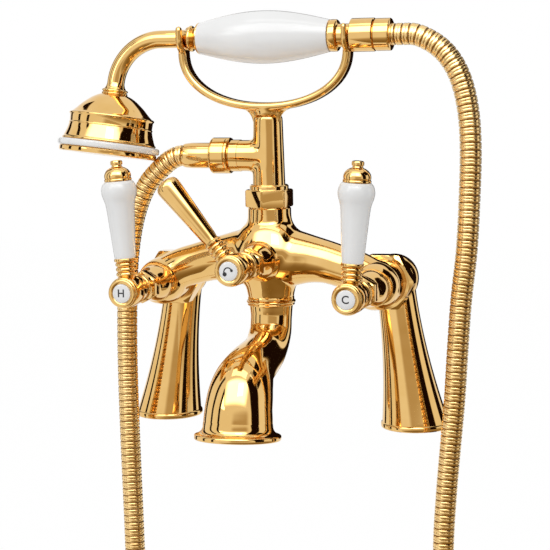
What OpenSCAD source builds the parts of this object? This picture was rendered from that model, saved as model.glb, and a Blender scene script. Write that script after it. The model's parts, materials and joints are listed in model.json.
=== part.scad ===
// Bath shower mixer on two legs: lever valves, a diverter, a swan spout, a riser
// with a cradle, and a hand shower on a ribbed metal hose.
// X runs to the right, the user stands on the -Y side and Z is up.
// The origin lies on the deck, midway between the two feet.

/* [Layout] */
// Distance between the centres of the two feet
leg_centres = 180; // [176:1:186]
// Distance between the two valve axes
valve_centres = 150; // [146:1:154]
// Distance from the feet forward to the middle plane of the body
body_reach = 35; // [34:0.5:42]
// Height of the valve axes above the deck
valve_h = 101; // [95:1:110]
// Height of the diverter axis above the valve axes
diverter_rise = 16.5; // [15:0.5:18]

/* [Legs] */
// Diameter of the foot rim
foot_d = 46.5; // [45:0.5:50]
// Height of the foot rim
foot_rim_h = 4; // [3.5:0.5:6]
// Diameter of the leg just below its head
leg_top_d = 26; // [24:0.5:28]
// Diameter of the ball that turns the leg forward
leg_head_d = 29; // [27:0.5:29]
// Diameter of the leg's tail inside the union nut
leg_tail_d = 22; // [20:0.5:22.5]
// Diameter of the threaded inlet under the foot
inlet_d = 20.6; // [18:0.2:22]
// Depth of the threaded inlet
inlet_depth = 16; // [12:1:20]
// Diameter of the waterways in the legs
leg_water_d = 12; // [9:0.5:13]
// Mean diameter of the seal ring under the foot
foot_seal_d = 33; // [30:0.5:35]
// Width of the seal ring under the foot
foot_seal_w = 3; // [2:0.5:4]
// Height of the seal ring under the foot
foot_seal_t = 1.8; // [1.2:0.2:2.4]

/* [Unions] */
// Width across the flats of the union nuts
union_flats = 36; // [34:0.5:38]
// Diameter of the threaded tails behind the valve barrels
union_thread_d = 26; // [25:0.5:27]
// Length of the threaded tails behind the valve barrels
union_thread_len = 5; // [4:0.5:7]
// Thickness of the fibre washers
washer_t = 1.6; // [1:0.2:2.4]
// Thickness of the flanges that the nuts pull on
flange_t = 2.2; // [1.6:0.2:3]
// Thickness of the nuts' inner lips
nut_lip_t = 2.2; // [1.8:0.2:3]

/* [Body] */
// Diameter of the valve barrels
barrel_d = 32; // [31:0.5:34]
// Reach of the valve barrels behind the middle plane
barrel_back = 9.5; // [9:0.5:10.5]
// Reach of the valve barrels in front of the middle plane
barrel_front = 20; // [19:0.5:24]
// Diameter of the arms at the valve barrels
arm_valve_d = 27; // [25:0.5:28]
// Diameter of the arms at the middle of the body
arm_core_d = 33; // [31:0.5:34]
// Height above the valve axes at which the arms meet
arm_rise = 30; // [27:0.5:31]
// Diameter of the body's belly
belly_d = 39; // [37:0.5:42]
// Diameter of the neck under the riser
neck_d = 29; // [28:0.5:31]
// Height of the neck above the diverter axis
neck_rise = 33.5; // [32:0.5:38]
// Diameter of the spout seat
seat_d = 31; // [29:0.5:33]
// Depth of the spout seat below the diverter axis
seat_drop = 28.5; // [27:0.5:31]
// Diameter of the diverter barrel
diverter_barrel_d = 30; // [29:0.5:32]
// Reach of the diverter barrel in front of the middle plane
diverter_front = 24; // [22:0.5:28]
// Diameter of the waterways in the arms
arm_water_d = 10; // [8:0.5:11]
// Diameter of the waterways above and below the diverter
core_water_d = 14; // [12:0.5:15]

/* [Valves] */
// Outer diameter of the cartridges and of the diverter sleeve
cartridge_d = 20; // [19:0.5:21]
// Depth of the valve chambers behind the middle plane
chamber_back = 2; // [1:0.5:3]
// Depth of the diverter chamber behind the middle plane
diverter_back = 12; // [11:0.5:13]
// Thickness of the seal under each cartridge
cartridge_seal_t = 2; // [1.5:0.5:2.5]
// Diameter of the ceramic discs
disc_d = 16; // [14:0.5:16.5]
// Thickness of each ceramic disc
disc_t = 3; // [2.5:0.5:3.5]
// Diameter of the spindles
spindle_d = 8; // [7:0.5:9]
// Diameter of the diverter's spool
spool_d = 13; // [12:0.5:14]
// Width across the flats of the cartridges' hexagons
cartridge_flats = 20; // [19:0.5:20.5]
// Diameter of the bonnets at the barrels
bonnet_skirt_d = 26; // [25.5:0.5:27]
// Length of the bonnets
bonnet_len = 36.5; // [34:0.5:40]
// Width across the flats of the bonnets' hexagons
bonnet_flats = 19; // [18:0.5:21]
// Diameter of the bonnets at the levers
bonnet_collar_d = 18; // [16:0.5:19]

/* [Levers] */
// Diameter of the lever hubs
hub_d = 20; // [19:0.5:21]
// Length of the lever hubs
hub_len = 18; // [17:0.5:20]
// Diameter of the index bezels
bezel_d = 18.6; // [17:0.2:18.8]
// Thickness of the index bezels in front of the hubs
bezel_t = 2.2; // [1.8:0.2:3]
// Diameter of the index discs
index_d = 12.4; // [11:0.2:13]
// Outward lean of the valve levers, in degrees
lever_lean = 4; // [0:1:8]
// Height of the grips' feet above the valve axes
lever_neck_len = 21.8; // [20:0.2:26]
// Length of the lever grips
grip_len = 50; // [44:1:56]
// Diameter of the lever grips at the foot
grip_foot_d = 13.8; // [13:0.2:15]
// Diameter of the lever grips at the widest place
grip_head_d = 23.2; // [21:0.2:25]
// Diameter of the finials
finial_d = 17.4; // [15:0.2:18]
// Height of the finials above the grips
finial_len = 13.4; // [12:0.2:15]
// Diameter of the tie studs inside the grips
stud_d = 5; // [4:0.5:6]
// Lean of the diverter lever to the left, in degrees
diverter_lean = 40; // [30:1:45]
// Length of the diverter lever from its axis
diverter_lever_len = 72; // [60:1:74]
// Diameter of the diverter lever at its root
diverter_root_d = 9; // [8:0.2:10]
// Diameter of the diverter lever at its end
diverter_end_d = 15.4; // [13:0.2:16]

/* [Spout] */
// Reach of the spout in front of the body's middle plane
spout_reach = 70; // [66:1:80]
// Depth of the spout's mouth below its seat
spout_drop = 81; // [76:1:84]
// Diameter of the spout at its seat
spout_root_d = 26; // [25:0.5:27]
// Diameter of the spout above its rim
spout_mouth_d = 44.6; // [42:0.2:46]
// Diameter of the rim round the mouth
spout_rim_d = 55; // [52:0.5:58]
// Height of the rim round the mouth
spout_rim_h = 4.4; // [4:0.2:7]
// Forward tilt of the mouth, in degrees
mouth_tilt = 6; // [0:1:10]
// Wall of the spout
spout_wall = 2.5; // [2:0.1:2.8]
// Diameter of the collar round the spout's root
spout_collar_d = 33; // [31:0.5:36]
// Height of the collar round the spout's root
spout_collar_h = 3.5; // [2.5:0.5:5]
// Diameter of the nipple that holds the spout
nipple_d = 19.6; // [18:0.2:20]

/* [Riser] */
// Width across the flats of the riser nut
riser_flats = 28; // [27.5:0.5:31]
// Diameter of the thread on the body's neck
riser_thread_d = 24.4; // [24:0.2:25]
// Length of the thread on the body's neck
riser_thread_len = 6; // [5:0.5:8]
// Turn of the riser nut when tight, in degrees
riser_nut_turn = 28; // [0:1:60]
// Height of the collar on the riser nut
riser_collar_h = 4; // [3:0.5:6]
// Diameter of the column at its foot
column_foot_d = 22; // [20:0.5:22.5]
// Diameter of the column at its top
column_top_d = 19.2; // [17:0.2:20]
// Length of the column
column_len = 53.4; // [50:0.2:60]
// Diameter of the column's waterway
column_water_d = 10; // [8:0.5:11]
// Height of the hose outlet above the column's foot
outlet_rise = 26.8; // [23:0.2:28]
// Diameter of the hose outlet
outlet_d = 21; // [19.5:0.5:22]
// Reach of the hose outlet's shoulder from the column's axis
outlet_reach = 26; // [24:0.5:30]
// Diameter of the hose outlet's thread
outlet_thread_d = 18; // [17:0.5:19]
// Length of the hose outlet's thread
outlet_thread_len = 7; // [6:0.5:9]
// Diameter of the check valve in the hose outlet
check_valve_d = 11.8; // [11:0.2:13]
// Length of the check valve
check_valve_len = 14; // [11:0.5:16]

/* [Cradle] */
// Distance of the cradle in front of the riser's axis
cradle_forward = 4; // [2:0.5:5]
// Height of the hand shower's axis above the column's top
cradle_h = 51.3; // [48:0.1:56]
// Distance between the two forks
cradle_span = 114; // [112:0.5:118]
// Thickness of the cradle's bow and forks
cradle_t = 5; // [4:0.5:6]
// Depth of the cradle's bow from front to back
cradle_w = 12; // [10:0.5:13]
// Height of the boss under the bow
cradle_boss_h = 3.5; // [2.5:0.5:5]
// Outer diameter of the forks
fork_d = 23; // [22:0.5:25]
// Height of the prongs above the hand shower's axis
prong_rise = 7.7; // [5:0.1:9]
// Diameter of the cradle's spigot in the column
spigot_d = 8; // [6:0.5:9]
// Length of the cradle's spigot in the column
spigot_len = 10; // [8:0.5:14]

/* [Hand shower] */
// Length of the porcelain grip
handle_len = 90; // [84:1:96]
// Diameter of the porcelain grip at its ends
handle_end_d = 20.8; // [19:0.2:22]
// Diameter of the porcelain grip in the middle
handle_mid_d = 34.6; // [31:0.2:37]
// Outer diameter of the tube inside the grip
core_tube_d = 11.2; // [10:0.2:11.6]
// Wall of the tube inside the grip
core_tube_wall = 1.6; // [1.2:0.1:2]
// Diameter of the front neck in its fork
front_neck_d = 12; // [11:0.5:13]
// Diameter of the rear neck in its fork
rear_neck_d = 15; // [14:0.5:16]
// Diameter of the hose connector
connector_d = 21.6; // [20:0.2:24]
// Length of the hose connector
connector_len = 15.5; // [14:0.5:20]
// Diameter of the bent arm
arm_d = 11.8; // [10.5:0.1:12]
// Wall of the bent arm
arm_wall = 1.9; // [1.4:0.1:2.2]
// Straight length of the arm before its bend
arm_straight = 12.4; // [10:0.2:18]
// Radius of the arm's bend
arm_bend_r = 32; // [28:1:36]
// Angle of the arm's bend, in degrees
arm_bend = 84; // [70:1:90]
// Straight length of the arm between its bend and the bell
arm_end = 4.5; // [3:0.5:8]
// Turn of the bent arm towards the user, in degrees
hand_roll = 7; // [0:1:12]
// Diameter of the bell's rim
bell_d = 63.6; // [61:0.2:65]
// Height of the bell
bell_h = 36.6; // [35:0.1:41]
// Wall of the bell
bell_wall = 2.2; // [1.6:0.1:2.8]
// Diameter of the white ring under the bell
bell_ring_d = 69; // [66:0.2:72]
// Thickness of the white ring under the bell
bell_ring_t = 4.4; // [4:0.2:7]
// Diameter of the face plate
plate_d = 66; // [62:0.5:67]
// Thickness of the face plate
plate_t = 3.8; // [3.5:0.1:5.5]
// Diameter of the spray holes
spray_d = 1.6; // [1:0.2:2.4]

/* [Hose] */
// Outer diameter of the hose
hose_d = 14; // [13:0.5:15]
// Bore of the hose
hose_bore_d = 9; // [7:0.5:9.5]
// Depth of the grooves between the hose's ribs
hose_groove = 0.8; // [0.4:0.1:1]
// Number of ribs on the hose
hose_ribs = 200; // [120:20:200]
// Diameter of the nut at the hand shower
hose_nut_d = 20.8; // [20.4:0.2:24]
// Diameter of the collar nut at the riser
collar_nut_d = 23.5; // [21:0.5:25]
// Diameter of the ferrule at the riser
ferrule_d = 17; // [16.6:0.2:18.4]

/* [Fits] */
// Radial room of threads and spigots
thread_gap = 0.1; // [0.05:0.05:0.2]
// Radial room of the turning spindles
running_gap = 0.05; // [0.02:0.01:0.08]
// Room between pieces that move past each other
moving_gap = 0.4; // [0.3:0.1:0.6]

/* [Hidden] */
$fn = 64;

gold = [0.87, 0.67, 0.33];
brass = [0.78, 0.62, 0.36];
porcelain = [0.95, 0.95, 0.93];
ceramic = [0.84, 0.84, 0.80];
steel = [0.70, 0.71, 0.72];
rubber = [0.12, 0.12, 0.13];
fibre = [0.52, 0.28, 0.20];

// Overshoot of a cut past the face that it opens
cut = 1;
// Bevel on the edges of turned pieces
bevel = 0.8;
// Gap that stays open in front of a tight nut
nut_gap = 0.5;
// How much smaller a pulled flange is than the thread of its nut
flange_room = 0.4;

// Places that many pieces share
leg_x = leg_centres / 2;
valve_x = valve_centres / 2;
leg_lean = atan((leg_x - valve_x) / valve_h);
leg_len = norm([leg_x - valve_x, valve_h]);
diverter_h = valve_h + diverter_rise;
seat_h = diverter_h - seat_drop;
neck_top = diverter_h + neck_rise;
arm_mid = (barrel_front - barrel_back) / 2;
chamber_d = cartridge_d + 2 * thread_gap;

// Stations of a union, counted forward from the middle plane
union_tail_end = -barrel_back - union_thread_len;
union_flange_face = union_tail_end - washer_t;
union_lip_face = union_flange_face - flange_t;
union_nut_back = union_lip_face - nut_lip_t;
union_nut_front = -barrel_back - nut_gap;
union_flange_d = union_thread_d - flange_room;
// Room round the corners of a union nut, cut into the leg behind it
nut_room_d = union_flats / cos(30) + 2 * moving_gap;

// Stations of a valve, counted forward from the middle plane
disc_gap = 0.1;
disc_floor = cartridge_seal_t - chamber_back;
moving_disc_floor = disc_floor + disc_t + disc_gap;
spindle_foot = moving_disc_floor + disc_t;
spindle_foot_t = 3;
cartridge_roof = spindle_foot + spindle_foot_t + moving_gap;
headwork_hex_t = 4;
headwork_neck_len = 8;
headwork_wall = 3;
headwork_neck_d = spindle_d + 2 * headwork_wall;
hub_gap = 0.5;
hub_mid = hub_len / 2;
socket_depth = 10;
web_t = 2.2;
recess_d = index_d + 1;

// Handle screw
screw_d = 4;
screw_head_d = 7.6;
screw_head_t = 2.4;
screw_len = 8;
screw_key_d = 3;

// Riser stations
column_z = neck_top + riser_thread_len + washer_t;
column_flange_d = riser_thread_d - flange_room;
riser_lip_z = column_z + flange_t;
outlet_z = column_z + outlet_rise;
column_top = column_z + column_len;
cradle_y = -body_reach - cradle_forward;
hand_z = column_top + cradle_h;

// Sides of the hose's rings
hose_sides = 8;

// Hose stations along X, left of the column and right of the hand shower
outlet_end = outlet_reach + outlet_thread_len;
ferrule_face = outlet_end + washer_t;
ferrule_flange_d = outlet_thread_d - flange_room;
ferrule_neck = 9.4;
hose_start = ferrule_face + flange_t + ferrule_neck;
hose_mouth = hose_start + hose_d;
hose_socket_d = hose_d + 2 * moving_gap;
handle_end = handle_len / 2;
rear_disc_t = 6;
fork_x = cradle_span / 2;
fork_out = fork_x + cradle_t / 2;
connector_x = fork_out + moving_gap;
connector_end = connector_x + connector_len;
connector_thread_d = connector_d - 3.6;
connector_thread_len = 5;
insert_face = connector_end + connector_thread_len + washer_t;
insert_d = hose_bore_d * cos(180 / hose_sides) - 2 * moving_gap;
insert_wall = 0.8;
insert_bore = insert_d - 2 * insert_wall;
hose_end = insert_face + flange_t;
hose_exit = hose_end + hose_d;

// Bell stations along its own axis, from the end of the arm's bend
arm_lead = 2;
arm_start = fork_out + arm_lead;
arm_socket = 4.5;
arm_bore_d = arm_d - 2 * arm_wall;
arm_spigot_d = arm_d - 2;
bell_rim = arm_end + bell_h;
plate_face = bell_rim + bell_ring_t;
plate_thread_d = 47;

// Route of the hose from the ferrule's mouth down, offsets in X, Y and Z
hose_left = [
    [0, 0, 0], [-9, 0, -2.5], [-18, 0, -9.5], [-27, 0, -19], [-33.5, 0, -31], [-38.5, 0, -46],
    [-42, 0, -64], [-44, 0, -84], [-45.5, 0, -116], [-46, 0, -152], [-45.5, 0, -205],
    [-44.5, 0, -260], [-44, 0, -320], [-44, 0, -410], [-44, 0, -505], [-29, 0, -560],
    [11, 0, -600], [67, 0, -615]
];
// Route of the hose from the hand shower's nut down, offsets in X, Y and Z
hose_right = [
    [0, 0, 0], [14, 0, -5], [25, 0, -14.5], [33, 0, -29], [37.5, 1, -49], [39, 1, -73],
    [38, 2, -103], [36, 2, -138], [32, 3, -171], [29.5, 3, -204], [27, 4, -238],
    [24, 4, -270], [21, 4, -304], [19, 4, -340], [18, 4, -420], [18, 4, -500],
    [17, 4, -585], [3, 4, -639], [-37, 4, -679]
];

// Smooth curve through points, with even steps on each stretch
function bend(p, i, u) =
    let (a = p[i - 1], b = p[i], c = p[i + 1], d = p[i + 2])
    0.5 * (2 * b + (c - a) * u + (2 * a - 5 * b + 4 * c - d) * u * u
        + (3 * b - a - 3 * c + d) * u * u * u);
// The curve needs one guide point before its start and one after its end
function curve(p, steps) = concat(
    [for (i = [1:len(p) - 3], k = [0:steps - 1]) bend(p, i, k / steps)],
    [p[len(p) - 2]]
);
// A curve whose ends run on straight
function open_curve(p, steps) =
    let (n = len(p) - 1)
    curve(concat([2 * p[0] - p[1]], p, [2 * p[n] - p[n - 1]]), steps);
function unit(v) = v / norm(v);
// Distance along a line of points at each of its points
function stations(p) = [
    for (i = 0, s = 0; i < len(p); s = s + (i + 1 < len(p) ? norm(p[i + 1] - p[i]) : 0), i = i + 1) s
];
function heading(p, i) = unit(p[min(i + 1, len(p) - 1)] - p[max(i - 1, 0)]);
// Ring of points round a line's point, square to the line
function ring(centre, along, across, r, sides) =
    let (b = unit(cross(along, across)), a = cross(b, along))
    [for (k = [0:sides - 1]) centre + r * (cos(360 * k / sides) * a + sin(360 * k / sides) * b)];
function split(a, b, c, d) = [[a, b, c], [a, c, d]];
// Triangles of a tube's wall whose rings start at point first
function wall_faces(first, rings, sides, inside) = [
    for (i = [0:rings - 2], k = [0:sides - 1])
        let (k2 = (k + 1) % sides, a = first + i * sides)
        each inside
            ? split(a + k, a + k2, a + sides + k2, a + sides + k)
            : split(a + k, a + sides + k, a + sides + k2, a + k2)
];
// Triangles that close a tube's end between an outer and an inner ring
function end_faces(outer, inner, sides, last) = [
    for (k = [0:sides - 1])
        let (k2 = (k + 1) % sides)
        each last
            ? split(outer + k, inner + k, inner + k2, outer + k2)
            : split(outer + k, outer + k2, inner + k2, inner + k)
];

// Tube between a list of outer rings and a list of inner rings
module tube(outer, inner, sides) {
    bore = len(outer) * sides;
    polyhedron(
        points = [for (r = concat(outer, inner)) each r],
        faces = concat(
            wall_faces(0, len(outer), sides, false),
            wall_faces(bore, len(inner), sides, true),
            end_faces(0, bore, sides, false),
            end_faces(bore - sides, bore + (len(inner) - 1) * sides, sides, true)
        )
    );
}

module at_valve(side) {
    translate([side * valve_x, -body_reach, valve_h]) rotate([90, 0, 0]) children();
}

module at_diverter() {
    translate([0, -body_reach, diverter_h]) rotate([90, 0, 0]) children();
}

// The riser's axis, with the deck as its floor
module at_core() {
    translate([0, -body_reach, 0]) children();
}

// The hand shower's axis, pointing to the right
module at_hand() {
    translate([0, cradle_y, hand_z]) rotate([0, 90, 0]) children();
}

// The hose outlet's axis, pointing to the left
module at_outlet() {
    translate([0, -body_reach, outlet_z]) rotate([0, -90, 0]) children();
}

// The centre of the arm's bend
module at_arm_bend() {
    translate([0, cradle_y, hand_z])
        rotate([-hand_roll, 0, 0])
            translate([-arm_start - arm_straight, 0, -arm_bend_r])
                children();
}

// The bell's axis, from the end of the arm's bend to the face plate
module at_bell() {
    at_arm_bend()
        rotate([0, -arm_bend, 0])
            translate([0, 0, arm_bend_r])
                rotate([0, -90, 0])
                    children();
}

module pipe(outer_d, inner_d, from, to) {
    difference() {
        translate([0, 0, from]) cylinder(d = outer_d, h = to - from);
        translate([0, 0, from - cut]) cylinder(d = inner_d, h = to - from + 2 * cut);
    }
}

module bar(d, from, to) {
    translate([0, 0, from]) cylinder(d = d, h = to - from);
}

// Cylinder with bevelled rims
module turned(d, from, to) {
    r = d / 2;
    rotate_extrude()
        polygon([
            [0, from], [r - bevel, from], [r, from + bevel],
            [r, to - bevel], [r - bevel, to], [0, to]
        ]);
}

// Hexagon with its corners turned off at both ends
module hexagon(flats, from, to) {
    intersection() {
        translate([0, 0, from]) cylinder(d = flats / cos(30), h = to - from, $fn = 6);
        turned(flats / cos(30), from, to);
    }
}

// Round bar between two points, d1 at the first and d2 at the second
module rod(a, b, d1, d2) {
    v = b - a;
    translate(a)
        rotate([0, acos(v.z / norm(v)), atan2(v.y, v.x)])
            cylinder(d1 = d1, d2 = d2, h = norm(v));
}

// Legs

function leg_r(t) = leg_top_d / 2 + (foot_d / 2 - bevel - leg_top_d / 2) * pow(1 - t, 1.5);

module leg_shaft(side) {
    steps = 12;
    translate([side * leg_x, 0, 0])
        rotate([0, -side * leg_lean, 0])
            rotate_extrude()
                polygon(concat(
                    [[0, 0]],
                    [for (i = [0:steps]) [leg_r(i / steps), leg_len * i / steps]],
                    [[0, leg_len]]
                ));
}

module leg_tail(side) {
    tail_end = body_reach + union_flange_face;
    translate([side * valve_x, 0, valve_h]) rotate([90, 0, 0]) {
        bar(leg_tail_d, 0, tail_end);
        bar(union_flange_d, tail_end - flange_t, tail_end);
    }
}

module leg(side) {
    head = [side * valve_x, 0, valve_h];
    color(gold) difference() {
        union() {
            difference() {
                union() {
                    leg_shaft(side);
                    translate(head) sphere(d = leg_head_d);
                }
                at_valve(side) bar(nut_room_d, union_nut_back - moving_gap, 0);
            }
            translate([side * leg_x, 0, -foot_rim_h]) turned(foot_d, 0, 2 * foot_rim_h);
            leg_tail(side);
        }
        translate([side * leg_x, 0, -foot_d]) cylinder(d = 2 * foot_d, h = foot_d);
        translate([side * leg_x, 0, 0]) {
            bar(inlet_d, -cut, inlet_depth);
            pipe(foot_seal_d + foot_seal_w, foot_seal_d - foot_seal_w, -cut, foot_seal_t);
        }
        rod([side * leg_x, 0, 0], head, leg_water_d, leg_water_d);
        translate(head) rotate([90, 0, 0]) bar(leg_water_d, 0, body_reach);
        translate(head) sphere(d = leg_water_d);
    }
}

module leg_left() {
    leg(-1);
}

module leg_right() {
    leg(1);
}

module foot_seals() {
    color(rubber)
        for (side = [-1, 1])
            translate([side * leg_x, 0, 0])
                pipe(
                    foot_seal_d + foot_seal_w - 2 * thread_gap,
                    foot_seal_d - foot_seal_w + 2 * thread_gap,
                    0, foot_seal_t
                );
}

module union_nut(side) {
    color(gold) at_valve(side) difference() {
        hexagon(union_flats, union_nut_back, union_nut_front);
        bar(union_thread_d + 2 * thread_gap, union_lip_face, union_nut_front + cut);
        bar(leg_tail_d + 2 * moving_gap, union_nut_back - cut, union_lip_face + cut);
    }
}

module union_nut_left() {
    union_nut(-1);
}

module union_nut_right() {
    union_nut(1);
}

// Fibre washers in the two unions, under the column and in the hose outlet
module union_washers() {
    color(fibre) {
        for (side = [-1, 1])
            at_valve(side) pipe(union_flange_d, leg_water_d, union_flange_face, union_tail_end);
        at_core() pipe(column_flange_d, core_water_d, column_z - washer_t, column_z);
        at_outlet() pipe(ferrule_flange_d, check_valve_d, outlet_end, ferrule_face);
    }
}

// Body

module barrel() {
    lip = 0.5;
    nose = bonnet_skirt_d / 2 + lip;
    rotate_extrude()
        polygon([
            [0, union_tail_end], [union_thread_d / 2, union_tail_end],
            [union_thread_d / 2, -barrel_back], [barrel_d / 2, -barrel_back],
            [barrel_d / 2, barrel_front - 2 * (barrel_d / 2 - nose)],
            [nose, barrel_front], [0, barrel_front]
        ]);
}

// Belly and neck turned about the riser's axis
module core() {
    belly_r = belly_d / 2;
    neck_r = neck_d / 2;
    belly_rise = 4;
    rotate_extrude()
        polygon([
            [0, seat_h], [seat_d / 2, seat_h],
            [belly_r - 0.2 * (belly_r - seat_d / 2), seat_h + 0.45 * seat_drop],
            [belly_r, diverter_h - 1.5 * belly_rise], [belly_r, diverter_h + belly_rise],
            [(belly_r + neck_r) / 2, diverter_h + 0.45 * neck_rise],
            [neck_r, diverter_h + 0.75 * neck_rise],
            [neck_r, neck_top - bevel], [neck_r - bevel, neck_top],
            [riser_thread_d / 2, neck_top],
            [riser_thread_d / 2, neck_top + riser_thread_len],
            [0, neck_top + riser_thread_len]
        ]);
}

function arm_foot(side) = [side * valve_x, -body_reach - arm_mid, valve_h];

// The arms end inside the core, this far from its axis
arm_stop = 6;

module body_arm(side) {
    meeting = [0, -body_reach, valve_h + arm_rise];
    foot = arm_foot(side);
    share = 1 - arm_stop / valve_x;
    rod(foot, foot + share * (meeting - foot), arm_valve_d, arm_core_d);
}

nipple_rise = 12;
spout_seal_d = nipple_d + 4.4;
spout_seal_w = 2;
spout_seal_t = 1.6;

module mixer_body() {
    diverter_centre = [0, -body_reach, diverter_h];
    color(gold) difference() {
        union() {
            at_core() core();
            for (side = [-1, 1]) {
                at_valve(side) barrel();
                body_arm(side);
            }
            at_diverter() turned(diverter_barrel_d, arm_stop, diverter_front);
        }
        for (side = [-1, 1]) {
            at_valve(side) bar(chamber_d, -chamber_back, barrel_front + cut);
            at_valve(side) bar(leg_water_d, union_tail_end - cut, 0);
            rod(arm_foot(side), diverter_centre, arm_water_d, arm_water_d);
        }
        at_diverter() bar(chamber_d, -diverter_back, diverter_front + cut);
        at_core() {
            bar(nipple_d + 2 * thread_gap, seat_h - cut, seat_h + nipple_rise);
            bar(core_water_d, seat_h, neck_top + riser_thread_len + cut);
            pipe(spout_seal_d + spout_seal_w, spout_seal_d - spout_seal_w,
                seat_h - cut, seat_h + spout_seal_t);
        }
    }
}

// Spout

// Line of the spout as shares of its reach and its drop, and of the growth from root to mouth
spout_line = [
    [0, 0, 0], [0, 0.11, 0], [0.035, 0.3, 0.02], [0.24, 0.41, 0.06], [0.62, 0.485, 0.32],
    [0.79, 0.56, 0.63], [0.89, 0.65, 0.83], [0.95, 0.75, 0.92], [0.98, 0.86, 1]
];

module spout() {
    sides = 24;
    line = open_curve(spout_line, 3);
    flow = [for (p = line) [0, -body_reach - spout_reach * p[0], seat_h - spout_drop * p[1]]];
    flow_r = [for (p = line) spout_root_d / 2 + (spout_mouth_d - spout_root_d) / 2 * p[2]];
    mouth = [0, -body_reach - spout_reach, seat_h - spout_drop];
    mouth_way = [0, -sin(mouth_tilt), -cos(mouth_tilt)];
    rim = [
        [spout_rim_h + 1, spout_mouth_d / 2], [spout_rim_h, spout_rim_d / 2 - bevel],
        [spout_rim_h - bevel, spout_rim_d / 2], [bevel, spout_rim_d / 2],
        [0, spout_rim_d / 2 - bevel]
    ];
    rim_points = [for (p = rim) mouth - p[0] * mouth_way];
    points = concat(flow, rim_points);
    radii = concat(flow_r, [for (p = rim) p[1]]);
    bores = concat(flow_r, [for (p = rim) spout_mouth_d / 2]);
    ways = [for (i = [0:len(points) - 1])
        i == 0 ? [0, 0, -1] : i < len(flow) ? heading(points, i) : mouth_way];
    color(gold) tube(
        [for (i = [0:len(points) - 1]) ring(points[i], ways[i], [1, 0, 0], radii[i], sides)],
        [for (i = [0:len(points) - 1]) ring(points[i], ways[i], [1, 0, 0], bores[i] - spout_wall, sides)],
        sides
    );
}

module spout_collar() {
    color(gold) at_core() difference() {
        turned(spout_collar_d, seat_h - spout_collar_h, seat_h);
        bar(spout_root_d + 2 * thread_gap, seat_h - spout_collar_h - cut, seat_h + cut);
    }
}

module spout_nipple() {
    color(brass) at_core()
        pipe(nipple_d, core_water_d, seat_h - 0.08 * spout_drop, seat_h + nipple_rise);
}

module spout_seal() {
    color(rubber) at_core()
        pipe(
            spout_seal_d + spout_seal_w - 2 * thread_gap,
            spout_seal_d - spout_seal_w + 2 * thread_gap,
            seat_h, seat_h + spout_seal_t
        );
}

// Valves

// Hexagon and neck of a headwork in front of its barrel
module headwork(front) {
    hexagon(cartridge_flats, front, front + headwork_hex_t);
    bar(headwork_neck_d, front, front + headwork_hex_t + headwork_neck_len);
}

module cartridge(side) {
    window_w = arm_water_d - 1;
    color(brass) at_valve(side) difference() {
        union() {
            bar(cartridge_d, disc_floor, barrel_front);
            headwork(barrel_front);
        }
        bar(disc_d + 2 * moving_gap, disc_floor - cut, cartridge_roof);
        bar(spindle_d + 2 * running_gap, 0, barrel_front + headwork_hex_t + headwork_neck_len + cut);
        translate([-chamber_d, -window_w / 2, disc_floor + disc_t / 2])
            cube([2 * chamber_d, window_w, cartridge_roof - disc_floor - disc_t]);
    }
}

module cartridge_hot() {
    cartridge(-1);
}

module cartridge_cold() {
    cartridge(1);
}

module cartridge_seals() {
    color(rubber)
        for (side = [-1, 1])
            at_valve(side) pipe(cartridge_d, leg_water_d - 2, -chamber_back, disc_floor);
}

// Two water ports through a ceramic disc
module disc_ports(floor) {
    for (turn = [0, 180])
        rotate([0, 0, turn])
            translate([0, disc_d / 4, floor - cut])
                cylinder(d = disc_d / 4, h = disc_t + 2 * cut);
}

module fixed_discs() {
    color(ceramic)
        for (side = [-1, 1])
            at_valve(side) difference() {
                bar(disc_d, disc_floor, disc_floor + disc_t);
                disc_ports(disc_floor);
            }
}

module moving_disc(side) {
    color(ceramic) at_valve(side) difference() {
        bar(disc_d, moving_disc_floor, moving_disc_floor + disc_t);
        rotate([0, 0, 90]) disc_ports(moving_disc_floor);
    }
}

module moving_disc_hot() {
    moving_disc(-1);
}

module moving_disc_cold() {
    moving_disc(1);
}

function hub_back(front) = front + bonnet_len + hub_gap;
function spindle_end(front) = hub_back(front) + socket_depth;

module spindle_shaft(from, front) {
    difference() {
        bar(spindle_d, from, spindle_end(front));
        bar(screw_d + 2 * thread_gap, spindle_end(front) - screw_len, spindle_end(front) + cut);
    }
}

module spindle(side) {
    color(brass) at_valve(side) {
        bar(disc_d - 4, spindle_foot, spindle_foot + spindle_foot_t);
        spindle_shaft(spindle_foot + spindle_foot_t, barrel_front);
    }
}

module spindle_hot() {
    spindle(-1);
}

module spindle_cold() {
    spindle(1);
}

module bonnet(front) {
    steps = 6;
    flare_from = front + 8;
    flare_to = front + 15;
    hex_to = front + 25;
    end = front + bonnet_len;
    skirt_r = bonnet_skirt_d / 2;
    waist_r = bonnet_flats / 2;
    collar_r = bonnet_collar_d / 2;
    color(gold) difference() {
        union() {
            rotate_extrude()
                polygon(concat(
                    [[0, front], [skirt_r, front]],
                    [for (i = [0:steps]) let (t = i / steps)
                        [skirt_r - (skirt_r - waist_r) * sin(90 * t),
                            flare_from + (flare_to - flare_from) * t]],
                    [
                        [waist_r, hex_to], [collar_r, hex_to + bevel],
                        [collar_r, end - bevel], [collar_r - bevel, end], [0, end]
                    ]
                ));
            hexagon(bonnet_flats, flare_to, hex_to);
        }
        bar(cartridge_flats / cos(30) + 2 * moving_gap, front - cut, front + headwork_hex_t + moving_gap);
        bar(headwork_neck_d + 2 * moving_gap, front, front + headwork_hex_t + headwork_neck_len + moving_gap);
        bar(spindle_d + 2 * moving_gap, front, end + cut);
    }
}

module bonnet_hot() {
    at_valve(-1) bonnet(barrel_front);
}

module bonnet_cold() {
    at_valve(1) bonnet(barrel_front);
}

module bonnet_diverter() {
    at_diverter() bonnet(diverter_front);
}

// Levers

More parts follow.
